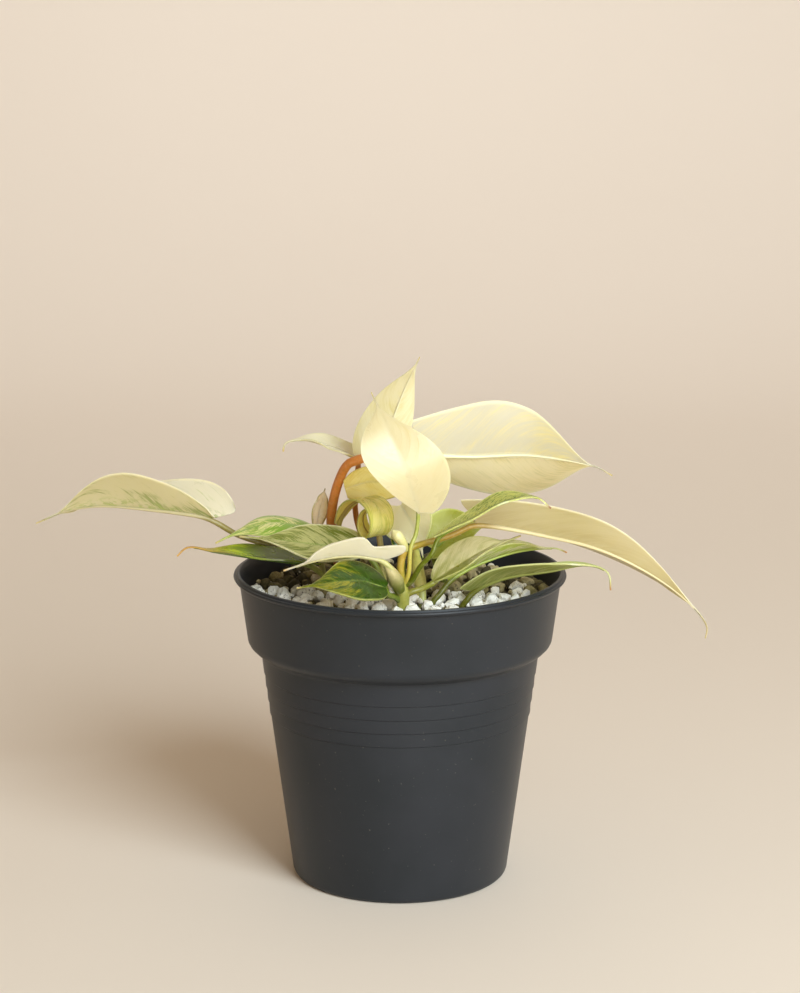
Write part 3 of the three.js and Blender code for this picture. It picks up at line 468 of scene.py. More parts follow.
class Wire:
    """One socket of a tree. Sums on wires add Math nodes to that tree."""

    def __init__(self, bench, socket):
        self.bench = bench
        self.socket = socket

    __add__ = __radd__ = sum_of("ADD")
    __mul__ = __rmul__ = sum_of("MULTIPLY")
    __sub__, __rsub__ = sum_of("SUBTRACT"), sum_of("SUBTRACT", swapped=True)
    __truediv__, __rtruediv__ = sum_of("DIVIDE"), sum_of("DIVIDE", swapped=True)
    __pow__ = sum_of("POWER")
    __abs__ = sum_of("ABSOLUTE")
    sine, cosine, exp, fraction = map(sum_of, ("SINE", "COSINE", "EXPONENT", "FRACT"))
    over, least, most = map(sum_of, ("GREATER_THAN", "MINIMUM", "MAXIMUM"))

    def __neg__(self):
        return self * -1

    def step(self, low, high):
        """0 below low and 1 above high, with a smooth rise between."""
        values = {"Value": self, "From Min": low, "From Max": high}
        return self.bench.wire("ShaderNodeMapRange", values, interpolation_type="SMOOTHSTEP")


class Bench:
    """Adds nodes to one tree."""

    def __init__(self, tree):
        self.tree = tree

    def node(self, kind, values=(), **settings):
        made = self.tree.nodes.new(kind)
        for key, value in settings.items():
            setattr(made, key, value)
        for key, value in (values.items() if isinstance(values, dict) else enumerate(values)):
            if isinstance(value, Wire):
                self.tree.links.new(value.socket, made.inputs[key])
            else:
                made.inputs[key].default_value = value
        return made

    def wire(self, kind, values=(), output=0, **settings):
        return Wire(self, self.node(kind, values, **settings).outputs[output])

    def blend(self, share, one, other):
        """A colour between two: each a wire, a screen code, or a linear colour as three numbers."""
        values = {0: share}
        for key, value in ((6, one), (7, other)):
            value = paint(value) if isinstance(value, str) else value
            values[key] = value if isinstance(value, Wire) else (*value, 1)
        return self.wire("ShaderNodeMix", values, 2, data_type="RGBA", clamp_factor=True)

    def ramp(self, share, *colours):
        """Blends through colours spaced evenly along share."""
        mixed = colours[0]
        steps = len(colours) - 1
        for i, tone in enumerate(colours[1:]):
            mixed = self.blend(share * steps - i, mixed, tone)
        return mixed

    def noise(self, place, scale, detail=3, roughness=0.5):
        values = {"Vector": place, "Scale": scale, "Detail": detail, "Roughness": roughness}
        return self.wire("ShaderNodeTexNoise", values)

    def vector(self, x, y, z):
        return self.wire("ShaderNodeCombineXYZ", (x, y, z))

    def scaled(self, vector, amount):
        return self.wire("ShaderNodeVectorMath", {"Vector": vector, "Scale": amount}, operation="SCALE")

    def part(self, vector, axis):
        """One coordinate of a vector, by its number."""
        return self.wire("ShaderNodeSeparateXYZ", [vector], axis)

    def attribute(self, name):
        return self.wire("ShaderNodeAttribute", output=2, attribute_name=name)

    def place(self):
        return self.wire("ShaderNodeTexCoord", output=3)

    def bump(self, height, strength, distance):
        return self.wire("ShaderNodeBump", {"Height": height, "Strength": strength, "Distance": distance})


def material(name, build, **uniform):
    """A new material. build gives the colour, roughness and normal that vary over the surface, in that order,
    and uniform what doesn't vary."""
    made = bpy.data.materials.new(name)
    made.use_nodes = True
    shader = made.node_tree.nodes["Principled BSDF"]
    for key, value in zip(("Base Color", "Roughness", "Normal"), build(Bench(made.node_tree))):
        made.node_tree.links.new(value.socket, shader.inputs[key])
    for key, value in uniform.items():
        shader.inputs[key.replace("_", " ")].default_value = value
    return made


class Recipe:
    """A Geometry Nodes tree with named inputs, from a geometry to the piece made from it."""

    def __init__(self, name):
        self.tree = bpy.data.node_groups.new(name, "GeometryNodeTree")
        self.bench = Bench(self.tree)
        self.entry = self.tree.nodes.new("NodeGroupInput")
        self.input("Geometry", "NodeSocketGeometry")
        self.input("Material", "NodeSocketMaterial")
        self.tree.interface.new_socket("Geometry", in_out="OUTPUT", socket_type="NodeSocketGeometry")

    def input(self, label, kind="NodeSocketFloat", default=None):
        socket = self.tree.interface.new_socket(label, in_out="INPUT", socket_type=kind)
        if default is not None:
            socket.default_value = default
        return self.given(label)

    def given(self, label):
        return Wire(self.bench, self.entry.outputs[label])

    def attribute(self, label, kind="FLOAT"):
        return self.bench.wire("GeometryNodeInputNamedAttribute", {"Name": label}, data_type=kind)

    def finish(self, geometry, smooth=True):
        """Ends the tree: real geometry, smooth or facetted, with its material."""
        solid = self.bench.wire("GeometryNodeRealizeInstances", [geometry])
        smooth = self.bench.wire("GeometryNodeSetShadeSmooth", {"Geometry": solid, "Shade Smooth": smooth})
        painted = self.bench.wire("GeometryNodeSetMaterial",
                                  {"Geometry": smooth, "Material": self.given("Material")})
        leave = self.tree.nodes.new("NodeGroupOutput")
        self.tree.links.new(painted.socket, leave.inputs[0])
        return self.tree

    def identifiers(self):
        items = self.tree.interface.items_tree
        return {item.name: item.identifier for item in items if item.in_out == "INPUT"}


def placed(name, data):
    """An object for a mesh, a light or a camera."""
    made = bpy.data.objects.new(name, data)
    bpy.context.collection.objects.link(made)
    return made


def applied(piece):
    """The piece with its modifiers made part of its mesh."""
    graph = bpy.context.evaluated_depsgraph_get()
    mesh = bpy.data.meshes.new_from_object(piece.evaluated_get(graph), preserve_all_data_layers=True,
                                           depsgraph=graph)
    piece.modifiers.clear()
    raw, piece.data = piece.data, mesh
    bpy.data.meshes.remove(raw)
    mesh.name = piece.name
    return piece


def cook(recipe, source, name, values):
    """A plain mesh object from a recipe run on a source mesh. The source is used up."""
    piece = placed(name, source)
    modifier = piece.modifiers.new("recipe", "NODES")
    modifier.node_group = recipe.tree
    identifiers = recipe.identifiers()
    for label, value in values.items():
        modifier[identifiers[label]] = value
    return applied(piece)


def fit(piece, nodes):
    """Says what a finished piece stands for."""
    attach(piece, "root")
    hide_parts(*nodes)
    return piece


def mesh_of(name, points, edges=(), faces=(), **attributes):
    """A mesh whose points carry the given numbers or vectors."""
    mesh = bpy.data.meshes.new(name)
    mesh.from_pydata([tuple(point) for point in points], edges, faces)
    for label, values in attributes.items():
        values = np.asarray(values, dtype=np.float32)
        kind = "FLOAT_VECTOR" if values.ndim == 2 else "FLOAT"
        layer = mesh.attributes.new(label, kind, "POINT")
        layer.data.foreach_set("vector" if values.ndim == 2 else "value", values.ravel())
    mesh.validate()
    return mesh


# ---- paths ----


def smooth_path(points, samples=40):
    """A centripetal Catmull-Rom curve through the points, as a fine list of points."""
    points = [np.array(point, dtype=float) for point in points]
    points = [2 * points[0] - points[1], *points, 2 * points[-1] - points[-2]]
    fine = []
    for before, start, end, after in zip(points, points[1:], points[2:], points[3:]):
        pairs = ((before, start), (start, end), (end, after))
        gaps = [max(np.linalg.norm(b - a) ** 0.5, 1e-4) for a, b in pairs]
        leave = (start - before) / gaps[0] - (end - before) / (gaps[0] + gaps[1]) + (end - start) / gaps[1]
        arrive = (end - start) / gaps[1] - (after - start) / (gaps[1] + gaps[2]) + (after - end) / gaps[2]
        leave, arrive = leave * gaps[1], arrive * gaps[1]
        for t in np.arange(samples) / samples:
            fine.append(start + leave * t + (3 * (end - start) - 2 * leave - arrive) * t ** 2
                        + (2 * (start - end) + leave + arrive) * t ** 3)
    return np.array([*fine, points[-2]])


def evenly(fine, count):
    """count + 1 points at even distances along a fine list of points."""
    travelled = np.concatenate([[0], np.cumsum(np.linalg.norm(np.diff(fine, axis=0), axis=1))])
    stops = np.linspace(0, travelled[-1], count + 1)
    return np.stack([np.interp(stops, travelled, fine[:, axis]) for axis in range(3)], axis=1)


def rib_frames(leaf, rows):
    """Points, directions, upward normals and rightward sides along a blade's midrib."""
    points = evenly(smooth_path(leaf.rib), rows)
    ahead = np.gradient(points, axis=0)
    ahead /= np.linalg.norm(ahead, axis=1)[:, None]
    normal = np.array(leaf.face, dtype=float)
    ups = []
    for i, direction in enumerate(ahead):
        normal = normal - direction * normal.dot(direction)
        normal = normal / np.linalg.norm(normal)
        turn = math.radians(leaf.twist * i / rows)
        ups.append(normal * math.cos(turn) + np.cross(direction, normal) * math.sin(turn))
    ups = np.array(ups)
    return points, ahead, ups, np.cross(ahead, ups)


def tube_mesh(name, path, girth, along=None):
    """A path as a chain of points that carry their radius and their share of the length."""
    count = len(path)
    edges = [(i, i + 1) for i in range(count - 1)]
    along = np.linspace(0, 1, count) if along is None else along
    return mesh_of(name, path * MM, edges, girth=np.asarray(girth) * MM, along=along)


# ---- recipes ----


def tube_recipe():
    """A round tube along a chain of points, as thick at each as the point's girth."""
    recipe = Recipe("Tube Along Path")
    sides = recipe.input("Sides", "NodeSocketInt", 14)
    bench = recipe.bench
    path = bench.wire("GeometryNodeMeshToCurve", {"Mesh": recipe.given("Geometry")})
    ring = bench.wire("GeometryNodeCurvePrimitiveCircle", {"Resolution": sides, "Radius": 1.0})
    tube = bench.wire("GeometryNodeCurveToMesh", {"Curve": path, "Profile Curve": ring,
                                                  "Scale": recipe.attribute("girth"), "Fill Caps": True})
    recipe.finish(tube)
    return recipe


def blade_recipe():
    """The rule that every blade follows: a heart-shaped outline, two folded and cupped halves, base lobes,
    a waved margin, a groove over the midrib and a faint swell between the side veins."""
    recipe = Recipe("Philodendron Blade")
    bench = recipe.bench
    halves = [side + label for side in ("Left ", "Right ") for label in HALF_INPUTS]
    given = {label: recipe.input(label, default=0.0) for label in (*halves, *BLADE_INPUTS, "Veins")}
    share = recipe.attribute("share")
    reach = recipe.attribute("reach")
    hand = reach.over(0.0)
    out = abs(reach)

    def pick(what):
        return given["Left " + what] + (given["Right " + what] - given["Left " + what]) * hand

    along = given["Start"] + (1 - given["Start"]) * (share / (1 - given["Drip"])).least(1.0)
    exponent = bench.wire("ShaderNodeMath", [0.5, pick("Widest")], operation="LOGARITHM")
    bulge = (along ** exponent * math.pi).sine().most(0.0)  # 1 where the half is widest
    tail = DRIP_HALF_WIDTH * (1.15 - 0.85 * share ** 3)
    neck = 1 - given["Waist"] * (-(((share - WAIST_PLACE) / WAIST_REACH) ** 2)).exp()
    half = (pick("Half") * neck * bulge ** (0.8 + 0.9 * along * along)).most(tail)
    ease = (half / NARROW_BLADE).least(1.0)
    fold = (pick("Fold") + (pick("Tip Fold") - pick("Fold")) * share) * ease * DEGREE
    cup = given["Cup"] * ease * DEGREE + 1e-4  # never quite flat
    angle = fold + cup * out
    across = half / cup * (angle.sine() - fold.sine())
    swell = (share * math.pi).sine()
    wave = given["Wave"] * out * out * ((given["Waves"] * share + 0.2 * hand) * 2 * math.pi).sine() * swell
    groove = given["Groove"] * (-((out * half / GROOVE_WIDTH) ** 2)).exp() * (1 - 0.7 * share)
    ripple = (given["Veins"] * (share - VEIN_SLANT * out) * 2 * math.pi).sine()
    quilt = QUILT_HEIGHT * ripple * out * (1 - out) * 4 * swell
    rise = half / cup * (fold.cosine() - angle.cosine()) + wave - groove + quilt + SEAT
    near = (1 - (share / given["Lobe Reach"]) ** given["Lobe Round"]).most(0.0)
    notch = given["Ear"] * (2 * out).sine() + (1 - given["Ear"]) * out * out * (3 - 2 * out)
    back = pick("Lobe") * notch * near * near

    def along_vector(label, amount):
        return bench.scaled(recipe.attribute(label, "FLOAT_VECTOR"), amount * MM)

    place = recipe.attribute("rib", "FLOAT_VECTOR")
    for label, amount in (("up", rise), ("ahead", -back), ("side", across * (2 * hand - 1))):
        place = bench.wire("ShaderNodeVectorMath", [place, along_vector(label, amount)], operation="ADD")
    shaped = bench.wire("GeometryNodeSetPosition", {"Geometry": recipe.given("Geometry"), "Position": place})
    recipe.finish(shaped)
    return recipe


def grain_recipe():
    """Lumpy grains strewn over a disc, each with a tone that is paler towards the front."""
    recipe = Recipe("Strewn Grains")
    bench = recipe.bench
    radius = recipe.input("Grain Radius", default=0.0027)
    spacing = recipe.input("Spacing", default=0.004)
    seed = recipe.input("Seed", "NodeSocketInt", 4)
    front = recipe.input("Front Pallor", default=0.4)
    strewn = bench.wire("GeometryNodeDistributePointsOnFaces",
                        {"Mesh": recipe.given("Geometry"), "Distance Min": spacing, "Seed": seed,
                         "Density Max": GRAIN_DENSITY}, distribute_method="POISSON")
    place = bench.wire("GeometryNodeInputPosition")
    frontness = 1 - bench.part(place, 1).step(-FRONT_BAND * MM, FRONT_BAND * MM)

    def draw(low, high, salt, kind="FLOAT_VECTOR"):
        first = 2 if kind == "FLOAT" else 0
        values = {first: low, first + 1: high, "Seed": seed + salt}
        return bench.wire("FunctionNodeRandomValue", values, first // 2, data_type=kind)

    tone = draw(0.0, TONE_SPREAD, 1, "FLOAT") + front * frontness
    strewn = bench.wire("GeometryNodeStoreNamedAttribute",
                        {"Geometry": strewn, "Name": "tone", "Value": tone}, domain="POINT",
                        data_type="FLOAT")
    ball = bench.wire("GeometryNodeMeshIcoSphere", {"Radius": 1.0, "Subdivisions": 2})
    scale = bench.scaled(draw(*GRAIN_SHAPES, 2), radius)
    turn = bench.wire("FunctionNodeEulerToRotation", [draw((0, 0, 0), (6.28, 6.28, 6.28), 3)])
    grains = bench.wire("GeometryNodeInstanceOnPoints",
                        {"Points": strewn, "Instance": ball, "Rotation": turn, "Scale": scale})
    solid = bench.wire("GeometryNodeRealizeInstances", [grains])
    lump = bench.wire("ShaderNodeTexVoronoi", {"Vector": place, "Scale": LUMP_SCALE}) - 0.45
    push = bench.scaled(bench.wire("GeometryNodeInputNormal"), lump * radius * LUMP_HEIGHT)
    recipe.finish(bench.wire("GeometryNodeSetPosition", {"Geometry": solid, "Offset": push}), smooth=False)
    return recipe


# ---- finishes ----


def blade_material(name, face, look, settings):
    """One face of a blade: patches and flecks drawn out along the side veins, a pale margin, a midrib and a
    withered tip."""
    ground, patch, cover, *right_ground = getattr(look, face)
    salt = sum(map(ord, name)) % 97

    def build(bench):
        share = bench.attribute("share")
        reach = bench.attribute("reach")
        out = abs(reach)
        vein = share - VEIN_SLANT * out ** 1.3
        hand = reach.over(0.0) * 7.3 + salt
        left, right = look.base
        near = left + (right - left) * reach.over(0.0)

        def drawn(along, across, detail, roughness=0.5, shift=0):
            """Noise with so many marks along the blade and across a half."""
            return bench.noise(bench.vector(vein * along, out * across, hand + shift), 1.0, detail, roughness)

        streaked = drawn(6 + 12 * look.streak, 1.5, 4, 0.65)
        broad = drawn(3.2, 2.0, 2)
        fine = drawn(80, 2.6, 3, 0.65)
        patches = 0.38 * streaked + 0.27 * broad + 0.35 * fine + near * (0.45 - share).most(0.0)
        edge = 0.62 - 0.26 * cover
        # A separate right-half ground: on high_right this is painted shade on the upper half against a
        # lighter lower half.
        plain = bench.blend(reach.over(0.0), ground, *right_ground) if right_ground else ground
        tone = bench.blend(patches.step(edge - look.soft, edge + look.soft), plain, patch)
        if look.flecks:
            dash = drawn(56, 6, 2, 0.6, shift=2)
            tone = bench.blend(dash.step(0.53, 0.6) * look.flecks, tone, FLECK)
        if look.lining:
            dash = drawn(30, 9, 3, 0.6, shift=4)
            dashes = (1 - out.step(0.06, 0.4)) * dash.step(0.48, 0.58)
            tone = bench.blend(dashes * look.lining, tone, LINING)
        ridge = (vein * settings.veins).fraction() - 0.5
        line = (-(ridge * ridge) * 120).exp() * out.step(0.03, 0.2)
        tone = bench.blend(line * look.veins, tone, look.midrib)
        tone = bench.blend(out.step(0.9, 0.99) * 0.75, tone, look.margin)
        tone = bench.blend((1 - out.step(0.02, 0.075)) * look.rib, tone, look.midrib)
        tone = bench.blend(share.step(look.fade, 1.0), tone, look.tip)
        place = bench.place()
        grain = bench.noise(place, 1500.0, 2)
        mottle = bench.noise(place, 160.0, 3)
        height = line * 0.12 + grain * 0.12 + mottle * 0.25
        rough = settings.gloss + (0.12 if face == "under" else 0.0) + (mottle - 0.5) * 0.16
        return tone, rough, bench.bump(height, 0.22, 0.0004)

    return material(name, build, Subsurface_Weight=0.9, Subsurface_Radius=(0.002, 0.0019, 0.0015),
                    Subsurface_Scale=1.0, Specular_IOR_Level=0.5)


def stalk_material(name, foot, top, midrib=None):
    """A smooth stalk that changes colour from foot to joint and again under the blade, with fine flecks."""

    def build(bench):
        along = bench.attribute("along")
        place = bench.place()
        flecks = bench.noise(place, 700.0, 3, 0.6)
        cloud = bench.noise(place, 120.0, 2)
        tone = bench.blend((along + (cloud - 0.5) * 0.5).step(0.1, 0.8), foot, top)
        tone = bench.blend(flecks.step(0.52, 0.72) * 0.14, tone, STALK_FLECKS[0])
        tone = bench.blend(flecks.step(0.5, 0.3) * 0.2, tone, STALK_FLECKS[1])
        tone = bench.blend(along.step(0.96, 1.1), tone, midrib or top)
        return tone, 0.36 + (cloud - 0.5) * 0.2, bench.bump(flecks, 0.15, 0.0003)

    return material(name, build, Subsurface_Weight=0.15, Subsurface_Radius=(0.002, 0.0015, 0.0006),
                    Subsurface_Scale=1.0)


def plastic_material(settings):
    """Injection-moulded plastic: satin, with faint flow marks, dust and a fine bumpy skin."""

    def build(bench):
        place = bench.place()
        cloud = bench.noise(place, 26.0, 4, 0.6)
        skin = bench.noise(place, 2600.0, 2)
        dust = bench.noise(place, 900.0, 2).step(0.7, 0.78)
        tone = bench.blend(cloud.step(0.3, 0.7), settings.plastic, PLASTIC_CLOUD)
        tone = bench.blend(dust * 0.25, tone, DUST)
        return tone, 0.4 + (cloud - 0.5) * 0.16 + dust * 0.2, bench.bump(skin * 0.5 + cloud, 0.12, 0.0002)

    return material("moulded_plastic", build, Specular_IOR_Level=0.25)


def grain_material(settings):
    """Pumice: a white, beige or olive ground with pits and tiny dark specks, and painted shade low between
    the grains.
    """

    def build(bench):
        place = bench.place()
        tone = bench.attribute("tone")
        mottle = bench.noise(place, 520.0, 4, 0.65)
        pits = bench.noise(place, 1700.0, 3, 0.7)
        shade = (tone + (mottle - 0.5) * 0.35).step(0.12, 0.85)
        body = bench.ramp(shade, GRAIN_SHADE, settings.olive, settings.beige, settings.white)
        specks = bench.noise(place, 1500.0, 1).step(0.62, 0.68) * bench.noise(place, 200.0, 1).step(0.42, 0.6)
        body = bench.blend(specks * 0.85, body, SPECK)
        # Painted shade: each grain darkens towards its low part, down between its neighbours.
        low, high = GRAIN_VALLEYS
        between = 1 - bench.part(place, 2).step(low * MM, high * MM)
        body = bench.blend(between * 0.8, body, PAINTED_SHADE_BETWEEN_GRAINS)
        return body, 0.85 + (pits - 0.5) * 0.2, bench.bump(mottle + pits * 0.6, 0.6, 0.0006)

    return material("pumice", build)


def mix_material():
    """Damp bark and coir."""

    def build(bench):
        place = bench.place()
        shreds = bench.noise(place, 380.0, 5, 0.7)
        tone = bench.ramp(shreds.step(0.3, 0.7), *MIX_TONES)
        return tone, 0.8 + shreds * 0.15, bench.bump(shreds, 0.8, 0.002)

    return material("potting_mix", build)


# ---- pieces ----


def pot_profile(settings):
    """The wall's section as (radius, height) in millimetres, from the middle of the foot, up the outside,
    over the lip and down the inside to the middle of the floor."""
    top, rim, wall = (value / MM for value in (settings.height, settings.rim_radius, settings.wall))
    shoulder = top - COLLAR_HEIGHT

    def body(height):
        return BODY_FOOT_RADIUS + (BODY_TOP_RADIUS - BODY_FOOT_RADIUS) * height / shoulder

    def turn(radius, height, steps):
        return [(radius + out, height + up) for out, up in steps]

    profile = [(0, 0.9), *turn(BODY_FOOT_RADIUS, 0, FOOT_TURN)]
    for ring in RING_HEIGHTS:
        profile += turn(body(ring), ring, RING_TURN)
    profile += turn(BODY_TOP_RADIUS, shoulder, SHOULDER_TURN) + turn(rim, top, LIP_TURN)
    profile += [(COLLAR_TOP_RADIUS - wall, top - 4.4), (BODY_TOP_RADIUS + 4.8 - wall, shoulder + 4.7),
                (BODY_TOP_RADIUS - wall - 0.2, shoulder - 0.5), (body(3.5) - wall, 3.5)]
    return profile + turn(body(FLOOR) - wall, FLOOR, ((-1, 0.2), (-1.8, 0))) + [(0, FLOOR)]


def outward(shape, mesh):
    """The mesh, with the shape written into it and every face turned outward."""
    bmesh.ops.recalc_face_normals(shape, faces=shape.faces)
    shape.to_mesh(mesh)
    shape.free()
    return mesh


def turned_mesh(name, profile, sides):
    """A closed lathe of (radius, height) in millimetres. The profile starts on the axis, and ends there or as
    an open disc."""
    shape = bmesh.new()
    rings = []
    for radius, height in profile:
        if radius == 0:
            rings.append([shape.verts.new((0, 0, height * MM))])
            continue
        circle = [(math.cos(a), math.sin(a)) for a in (2 * math.pi * i / sides for i in range(sides))]
        rings.append([shape.verts.new((radius * MM * x, radius * MM * y, height * MM)) for x, y in circle])
    for lower, upper in zip(rings, rings[1:]):
        for i in range(sides):
            corners = [lower[i % len(lower)], lower[(i + 1) % sides % len(lower)],
                       upper[(i + 1) % sides % len(upper)], upper[i % len(upper)]]
            shape.faces.new(list(dict.fromkeys(corners)))
    return outward(shape, bpy.data.meshes.new(name))


def closed_outward(piece):
    """Turns a finished piece's faces outward."""
    shape = bmesh.new()
    shape.from_mesh(piece.data)
    outward(shape, piece.data)


class PHILODENDRON_OT_pot(bpy.types.Operator):
    """Turn the nursery pot and drill its drain holes"""
    bl_idname = "philodendron.pot"
    bl_label = "Pot"

    def execute(self, context):
        settings = context.scene.philodendron_pot
        pot = placed("nursery_pot", turned_mesh("nursery_pot", pot_profile(settings), settings.sides))
        drill = bmesh.new()
        for i in range(DRAIN_HOLES):
            angle = 2 * math.pi * (i + 0.5) / DRAIN_HOLES
            place = (DRAIN_CIRCLE * MM * math.cos(angle), DRAIN_CIRCLE * MM * math.sin(angle), MM)
            hole = bmesh.ops.create_cone(drill, cap_ends=True, segments=DRILL_SIDES, depth=4 * FLOOR * MM,
                                         radius1=DRAIN_RADIUS * MM, radius2=DRAIN_RADIUS * MM)
            bmesh.ops.translate(drill, verts=hole["verts"], vec=place)
        drills = placed("drills", outward(drill, bpy.data.meshes.new("drills")))
        cut = pot.modifiers.new("drain_holes", "BOOLEAN")
        cut.operation, cut.object, cut.solver = "DIFFERENCE", drills, "EXACT"
        applied(pot)
        bpy.data.objects.remove(drills)
        pot.data.materials.clear()
        pot.data.materials.append(plastic_material(settings))
        pot.data.shade_smooth()
        pot.data.set_sharp_from_angle(angle=POT_EDGE_ANGLE * DEGREE)
        fit(pot, ["pot"])
        return {"FINISHED"}


class PHILODENDRON_OT_filling(bpy.types.Operator):
    """Strew the pumice grains over the potting mix"""
    bl_idname = "philodendron.filling"
    bl_label = "Filling"

    def execute(self, context):
        settings = context.scene.philodendron_grains
        mix = mix_material()
        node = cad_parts["potting_mix"]
        node.data.materials.clear()
        node.data.materials.append(mix)
        # The bed under the grains takes the dark potting-mix colour: partly the mix below, partly painted
        # shade in the gaps between the grains.
        bed = placed("grain_bed", turned_mesh("grain_bed", GRAIN_BED, GRAIN_BED_SIDES))
        bed.data.materials.append(mix)
        fit(bed, ["pumice_dressing"])
        recipe = grain_recipe()
        finish = grain_material(settings)
        for offset, (name, layer) in enumerate(GRAIN_LAYERS.items()):
            height, radius, size, spacing, pallor = layer
            disc = turned_mesh(name, [(0, height), (radius, height)], GRAIN_LAYER_SIDES)
            grains = cook(recipe, disc, name, {
                "Material": finish, "Grain Radius": settings.size * size, "Spacing": spacing * MM,
                "Seed": settings.seed + offset, "Front Pallor": pallor})
            fit(grains, ["pumice_dressing"])
        return {"FINISHED"}


def evened(values, first, last):
    """Evens the values out with their neighbours, from first up to last."""
    beside = values[first - 1:last - 1] + values[first + 1:last + 1]
    values[first:last] = (beside + 2 * values[first:last]) / 4


def stalk_path(leaf):
    """The stalk's points and girths in millimetres, from its foot through the joint and on under the midrib,
    and how far along each point is: 1 at the joint, 2 at the midrib's end."""
    stalk = evenly(smooth_path(leaf.stalk), STALK_STEPS)
    points, _, ups, _ = rib_frames(leaf, KEEL_STEPS)
    keel = (points + ups * (SEAT - KEEL_SINK))[KEEL_SPAN]
    path = np.concatenate([stalk[:-1], keel])
    shares = np.linspace(0, 1, STALK_STEPS)
    # A stalk thins out upwards and swells just below the joint.
    girths = leaf.radius * (1.12 - 0.22 * shares + 0.16 * np.exp(-((shares - 0.97) / 0.035) ** 2))
    thick, thin = KEEL_GIRTHS
    keel_girths = np.linspace(min(leaf.keel * leaf.radius, thick), thin, len(keel))
    girth = np.concatenate([girths, keel_girths])
    for _ in range(JOINT_ROUNDS):
        evened(path, STALK_STEPS - 4, STALK_STEPS + 5)
        evened(girth, STALK_STEPS - 4, STALK_STEPS + 5)
    return path, girth, np.concatenate([shares, np.linspace(1, 2, len(keel))])


class PHILODENDRON_OT_stalks(bpy.types.Operator):
    """Draw each leaf's stalk from the filling to the blade, and on as its midrib"""
    bl_idname = "philodendron.stalks"
    bl_label = "Stalks"

    def execute(self, context):
        settings = context.scene.philodendron_plant
        recipe = tube_recipe()
        for leaf in LEAVES:
            name, look = leaf.name, LOOKS[leaf.name]
            finish = stalk_material(name + "_stalk_skin", *look.stalk, look.keel or look.under[0])
            mesh = tube_mesh(name, *stalk_path(leaf))
            pieces = [cook(recipe, mesh, name + "_petiole", {"Material": finish, "Sides": settings.sides})]
            if name in SHEATHS:
                skin = stalk_material(name + "_sheath_skin", *SHEATHS[name]["tones"])
                pieces.append(thick_path(recipe, name + "_sheath", SHEATHS[name], skin, settings.sides))
            for piece in pieces:
                closed_outward(piece)
                fit(piece, [name + "_stalk"])
        return {"FINISHED"}


def thick_path(recipe, name, shape, finish, sides):
    """A tube through a short list of points, each with its own girth."""
    steps = 12 * len(shape["path"])
    path = evenly(smooth_path(shape["path"]), steps)
    stops = np.linspace(0, 1, len(shape["girth"]))
    girth = np.interp(np.linspace(0, 1, steps + 1), stops, shape["girth"])
    girth[2:-2] = (girth[:-4] + girth[1:-3] + girth[2:-2] + girth[3:-1] + girth[4:]) / 5
    return cook(recipe, tube_mesh(name, path, girth), name, {"Material": finish, "Sides": sides})


class PHILODENDRON_OT_stem(bpy.types.Operator):
    """Grow the main stem, its yellow upper part and the new shoot"""
    bl_idname = "philodendron.stem"
    bl_label = "Stem"

    def execute(self, context):
        sides = context.scene.philodendron_plant.sides + 6
        recipe = tube_recipe()
        for name, node, shape, tones, slot in STEM_PIECES:
            piece = thick_path(recipe, name, shape, stalk_material(name + "_skin", *tones), sides)
            closed_outward(piece)
            fit(piece, [node])
        return {"FINISHED"}


class PHILODENDRON_OT_blades(bpy.types.Operator):
    """Shape and colour every leaf blade by the one rule that they share"""
    bl_idname = "philodendron.blades"
    bl_label = "Blades"

    def execute(self, context):
        settings = context.scene.philodendron_plant
        recipe = blade_recipe()
        for leaf in LEAVES:
            name, look = leaf.name, LOOKS[leaf.name]
            skins = [blade_material(name + "_" + face, face, look, settings) for face in ("upper", "under")]
            blade = cook(recipe, flat_blade(leaf), name + "_leaf",
                         {"Material": skins[0], "Veins": settings.veins, **leaf.inputs()})
            blade.data.materials.clear()
            for skin in skins:
                blade.data.materials.append(skin)
            shell = blade.modifiers.new("thickness", "SOLIDIFY")
            shell.thickness = settings.blade
            shell.offset = 0
            shell.material_offset = 1
            shell.use_even_offset = False
            applied(blade).data.set_sharp_from_angle(angle=BLADE_EDGE_ANGLE * DEGREE)
            fit(blade, [name + "_blade"])
        return {"FINISHED"}


def flat_blade(leaf):
    """A grid, base to tip by left to right, whose points carry their place on the leaf and their frame."""
    points, ahead, ups, sides = rib_frames(leaf, BLADE_ROWS)
    reach = np.linspace(-1, 1, BLADE_COLUMNS + 1)
    reach = np.sign(reach) * (1 - (1 - np.abs(reach)) ** MARGIN_CROWDING)
    share = np.linspace(0, 1, BLADE_ROWS + 1)
    width = BLADE_COLUMNS + 1
    flat = [(r, s, 0) for s in share for r in reach]
    corners = [i * width + j for i in range(BLADE_ROWS) for j in range(BLADE_COLUMNS)]
    faces = [(corner, corner + 1, corner + width + 1, corner + width) for corner in corners]
    each = lambda values: np.repeat(values, width, axis=0)
    return mesh_of(leaf.name, flat, faces=faces, share=each(share), reach=np.tile(reach, BLADE_ROWS + 1),
                   rib=each(points * MM), ahead=each(ahead), up=each(ups), side=each(sides))


class PHILODENDRON_OT_stage(bpy.types.Operator):
    """Set up the backdrop, the soft lights and the camera"""
    bl_idname = "philodendron.stage"
    bl_label = "Stage"

    def execute(self, context):
        settings = context.scene.philodendron_stage
        backdrop(settings)
        for name, light in LIGHTS.items():
            area_light(name, getattr(settings, name), *light)
        world = bpy.data.worlds.new("studio")
        world.use_nodes = True
        sky = world.node_tree.nodes["Background"]
        sky.inputs["Color"].default_value = SKY_TINT
        sky.inputs["Strength"].default_value = SKY_STRENGTH
        context.scene.world = world
        context.scene.view_settings.view_transform = "Standard"
        lens = bpy.data.cameras.new("camera")
        lens.lens = settings.lens
        lens.clip_start = 0.01
        camera = placed("camera", lens)
        camera.location = (0, -settings.distance, CAMERA_HEIGHT)
        camera.rotation_euler = (math.radians(90 - CAMERA_TILT), 0, 0)
        context.scene.camera = camera
        return {"FINISHED"}


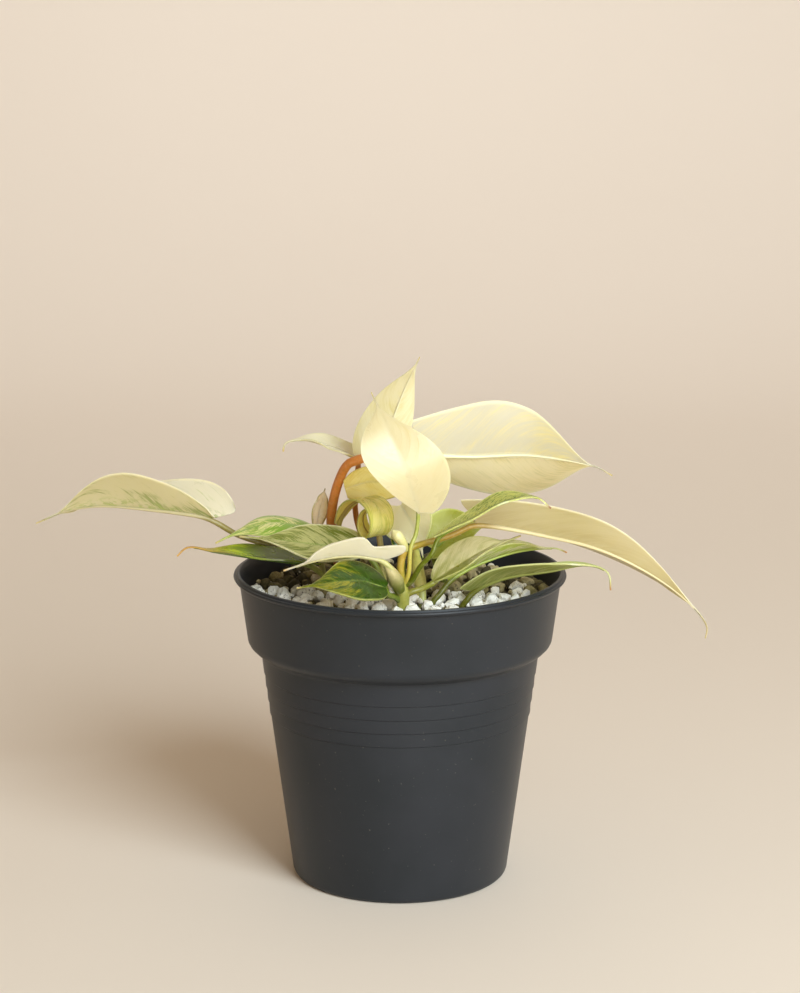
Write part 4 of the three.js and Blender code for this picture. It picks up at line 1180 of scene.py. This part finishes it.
def backdrop(settings):
    """A seamless sweep: floor, curve and wall."""
    sweep = [(SWEEP_FRONT, 0.0), (SWEEP_BEND, 0.0)]
    for angle in np.linspace(0.1, math.pi / 2, 14):
        sweep.append((SWEEP_BEND + SWEEP_RADIUS * math.sin(angle), SWEEP_RADIUS * (1 - math.cos(angle))))
    sweep.append((SWEEP_BEND + SWEEP_RADIUS, SWEEP_TOP))
    points = [(x, y, z) for y, z in sweep for x in (-SWEEP_HALF_WIDTH, SWEEP_HALF_WIDTH)]
    faces = [(2 * i, 2 * i + 1, 2 * i + 3, 2 * i + 2) for i in range(len(sweep) - 1)]
    mesh = mesh_of("backdrop", points, faces=faces)
    mesh.shade_smooth()

    def build(bench):
        place = bench.place()
        haze = bench.noise(place, 2.0, 2)
        sheet = bench.blend(haze.step(0.3, 0.7) * 0.25, settings.backdrop, PAPER_CLOUD)
        return [bench.blend(bench.part(place, 1).step(0.3, 1.1), settings.floor, sheet)]

    mesh.materials.append(material("backdrop_paper", build, Roughness=0.9, Specular_IOR_Level=0.1))
    placed("backdrop", mesh)


def area_light(name, power, size, place, target, tint, spread):
    """A soft square lamp that looks at its target."""
    lamp = bpy.data.lights.new(name, "AREA")
    lamp.energy, lamp.size, lamp.color, lamp.spread = power, size, tint, math.radians(spread)
    light = placed(name, lamp)
    light.location = place
    light.rotation_euler = (Vector(target) - Vector(place)).to_track_quat("-Z", "Y").to_euler()


class PHILODENDRON_PT_panel(bpy.types.Panel):
    """The plant's pieces and their settings"""
    bl_label = "Philodendron"
    bl_space_type = "VIEW_3D"
    bl_region_type = "UI"
    bl_category = "Philodendron"

    def draw(self, context):
        for operators, group in PARTS:
            box = self.layout.box()
            settings = getattr(context.scene, group)
            for key in settings.__annotations__:
                box.prop(settings, key)
            for operator in operators:
                box.operator(operator.bl_idname)


GROUPS = {
    "philodendron_pot": PotSettings,
    "philodendron_grains": GrainSettings,
    "philodendron_plant": PlantSettings,
    "philodendron_stage": StageSettings,
}
PARTS = (
    ([PHILODENDRON_OT_pot], "philodendron_pot"),
    ([PHILODENDRON_OT_filling], "philodendron_grains"),
    ([PHILODENDRON_OT_stalks, PHILODENDRON_OT_stem, PHILODENDRON_OT_blades], "philodendron_plant"),
    ([PHILODENDRON_OT_stage], "philodendron_stage"),
)
OPERATORS = [operator for operators, _ in PARTS for operator in operators]
CLASSES = [*GROUPS.values(), *OPERATORS, PHILODENDRON_PT_panel]


def register():
    for cls in CLASSES:
        bpy.utils.register_class(cls)
    for name, group in GROUPS.items():
        setattr(bpy.types.Scene, name, PointerProperty(type=group))


def unregister():
    for name in GROUPS:
        delattr(bpy.types.Scene, name)
    for cls in reversed(CLASSES):
        bpy.utils.unregister_class(cls)


def main():
    """Builds the stage, then the pot, its filling and the plant."""
    register()
    bpy.ops.philodendron.stage()
    bpy.ops.philodendron.pot()
    bpy.ops.philodendron.filling()
    bpy.ops.philodendron.stalks()
    bpy.ops.philodendron.stem()
    bpy.ops.philodendron.blades()


if __name__ == "__main__":
    main()
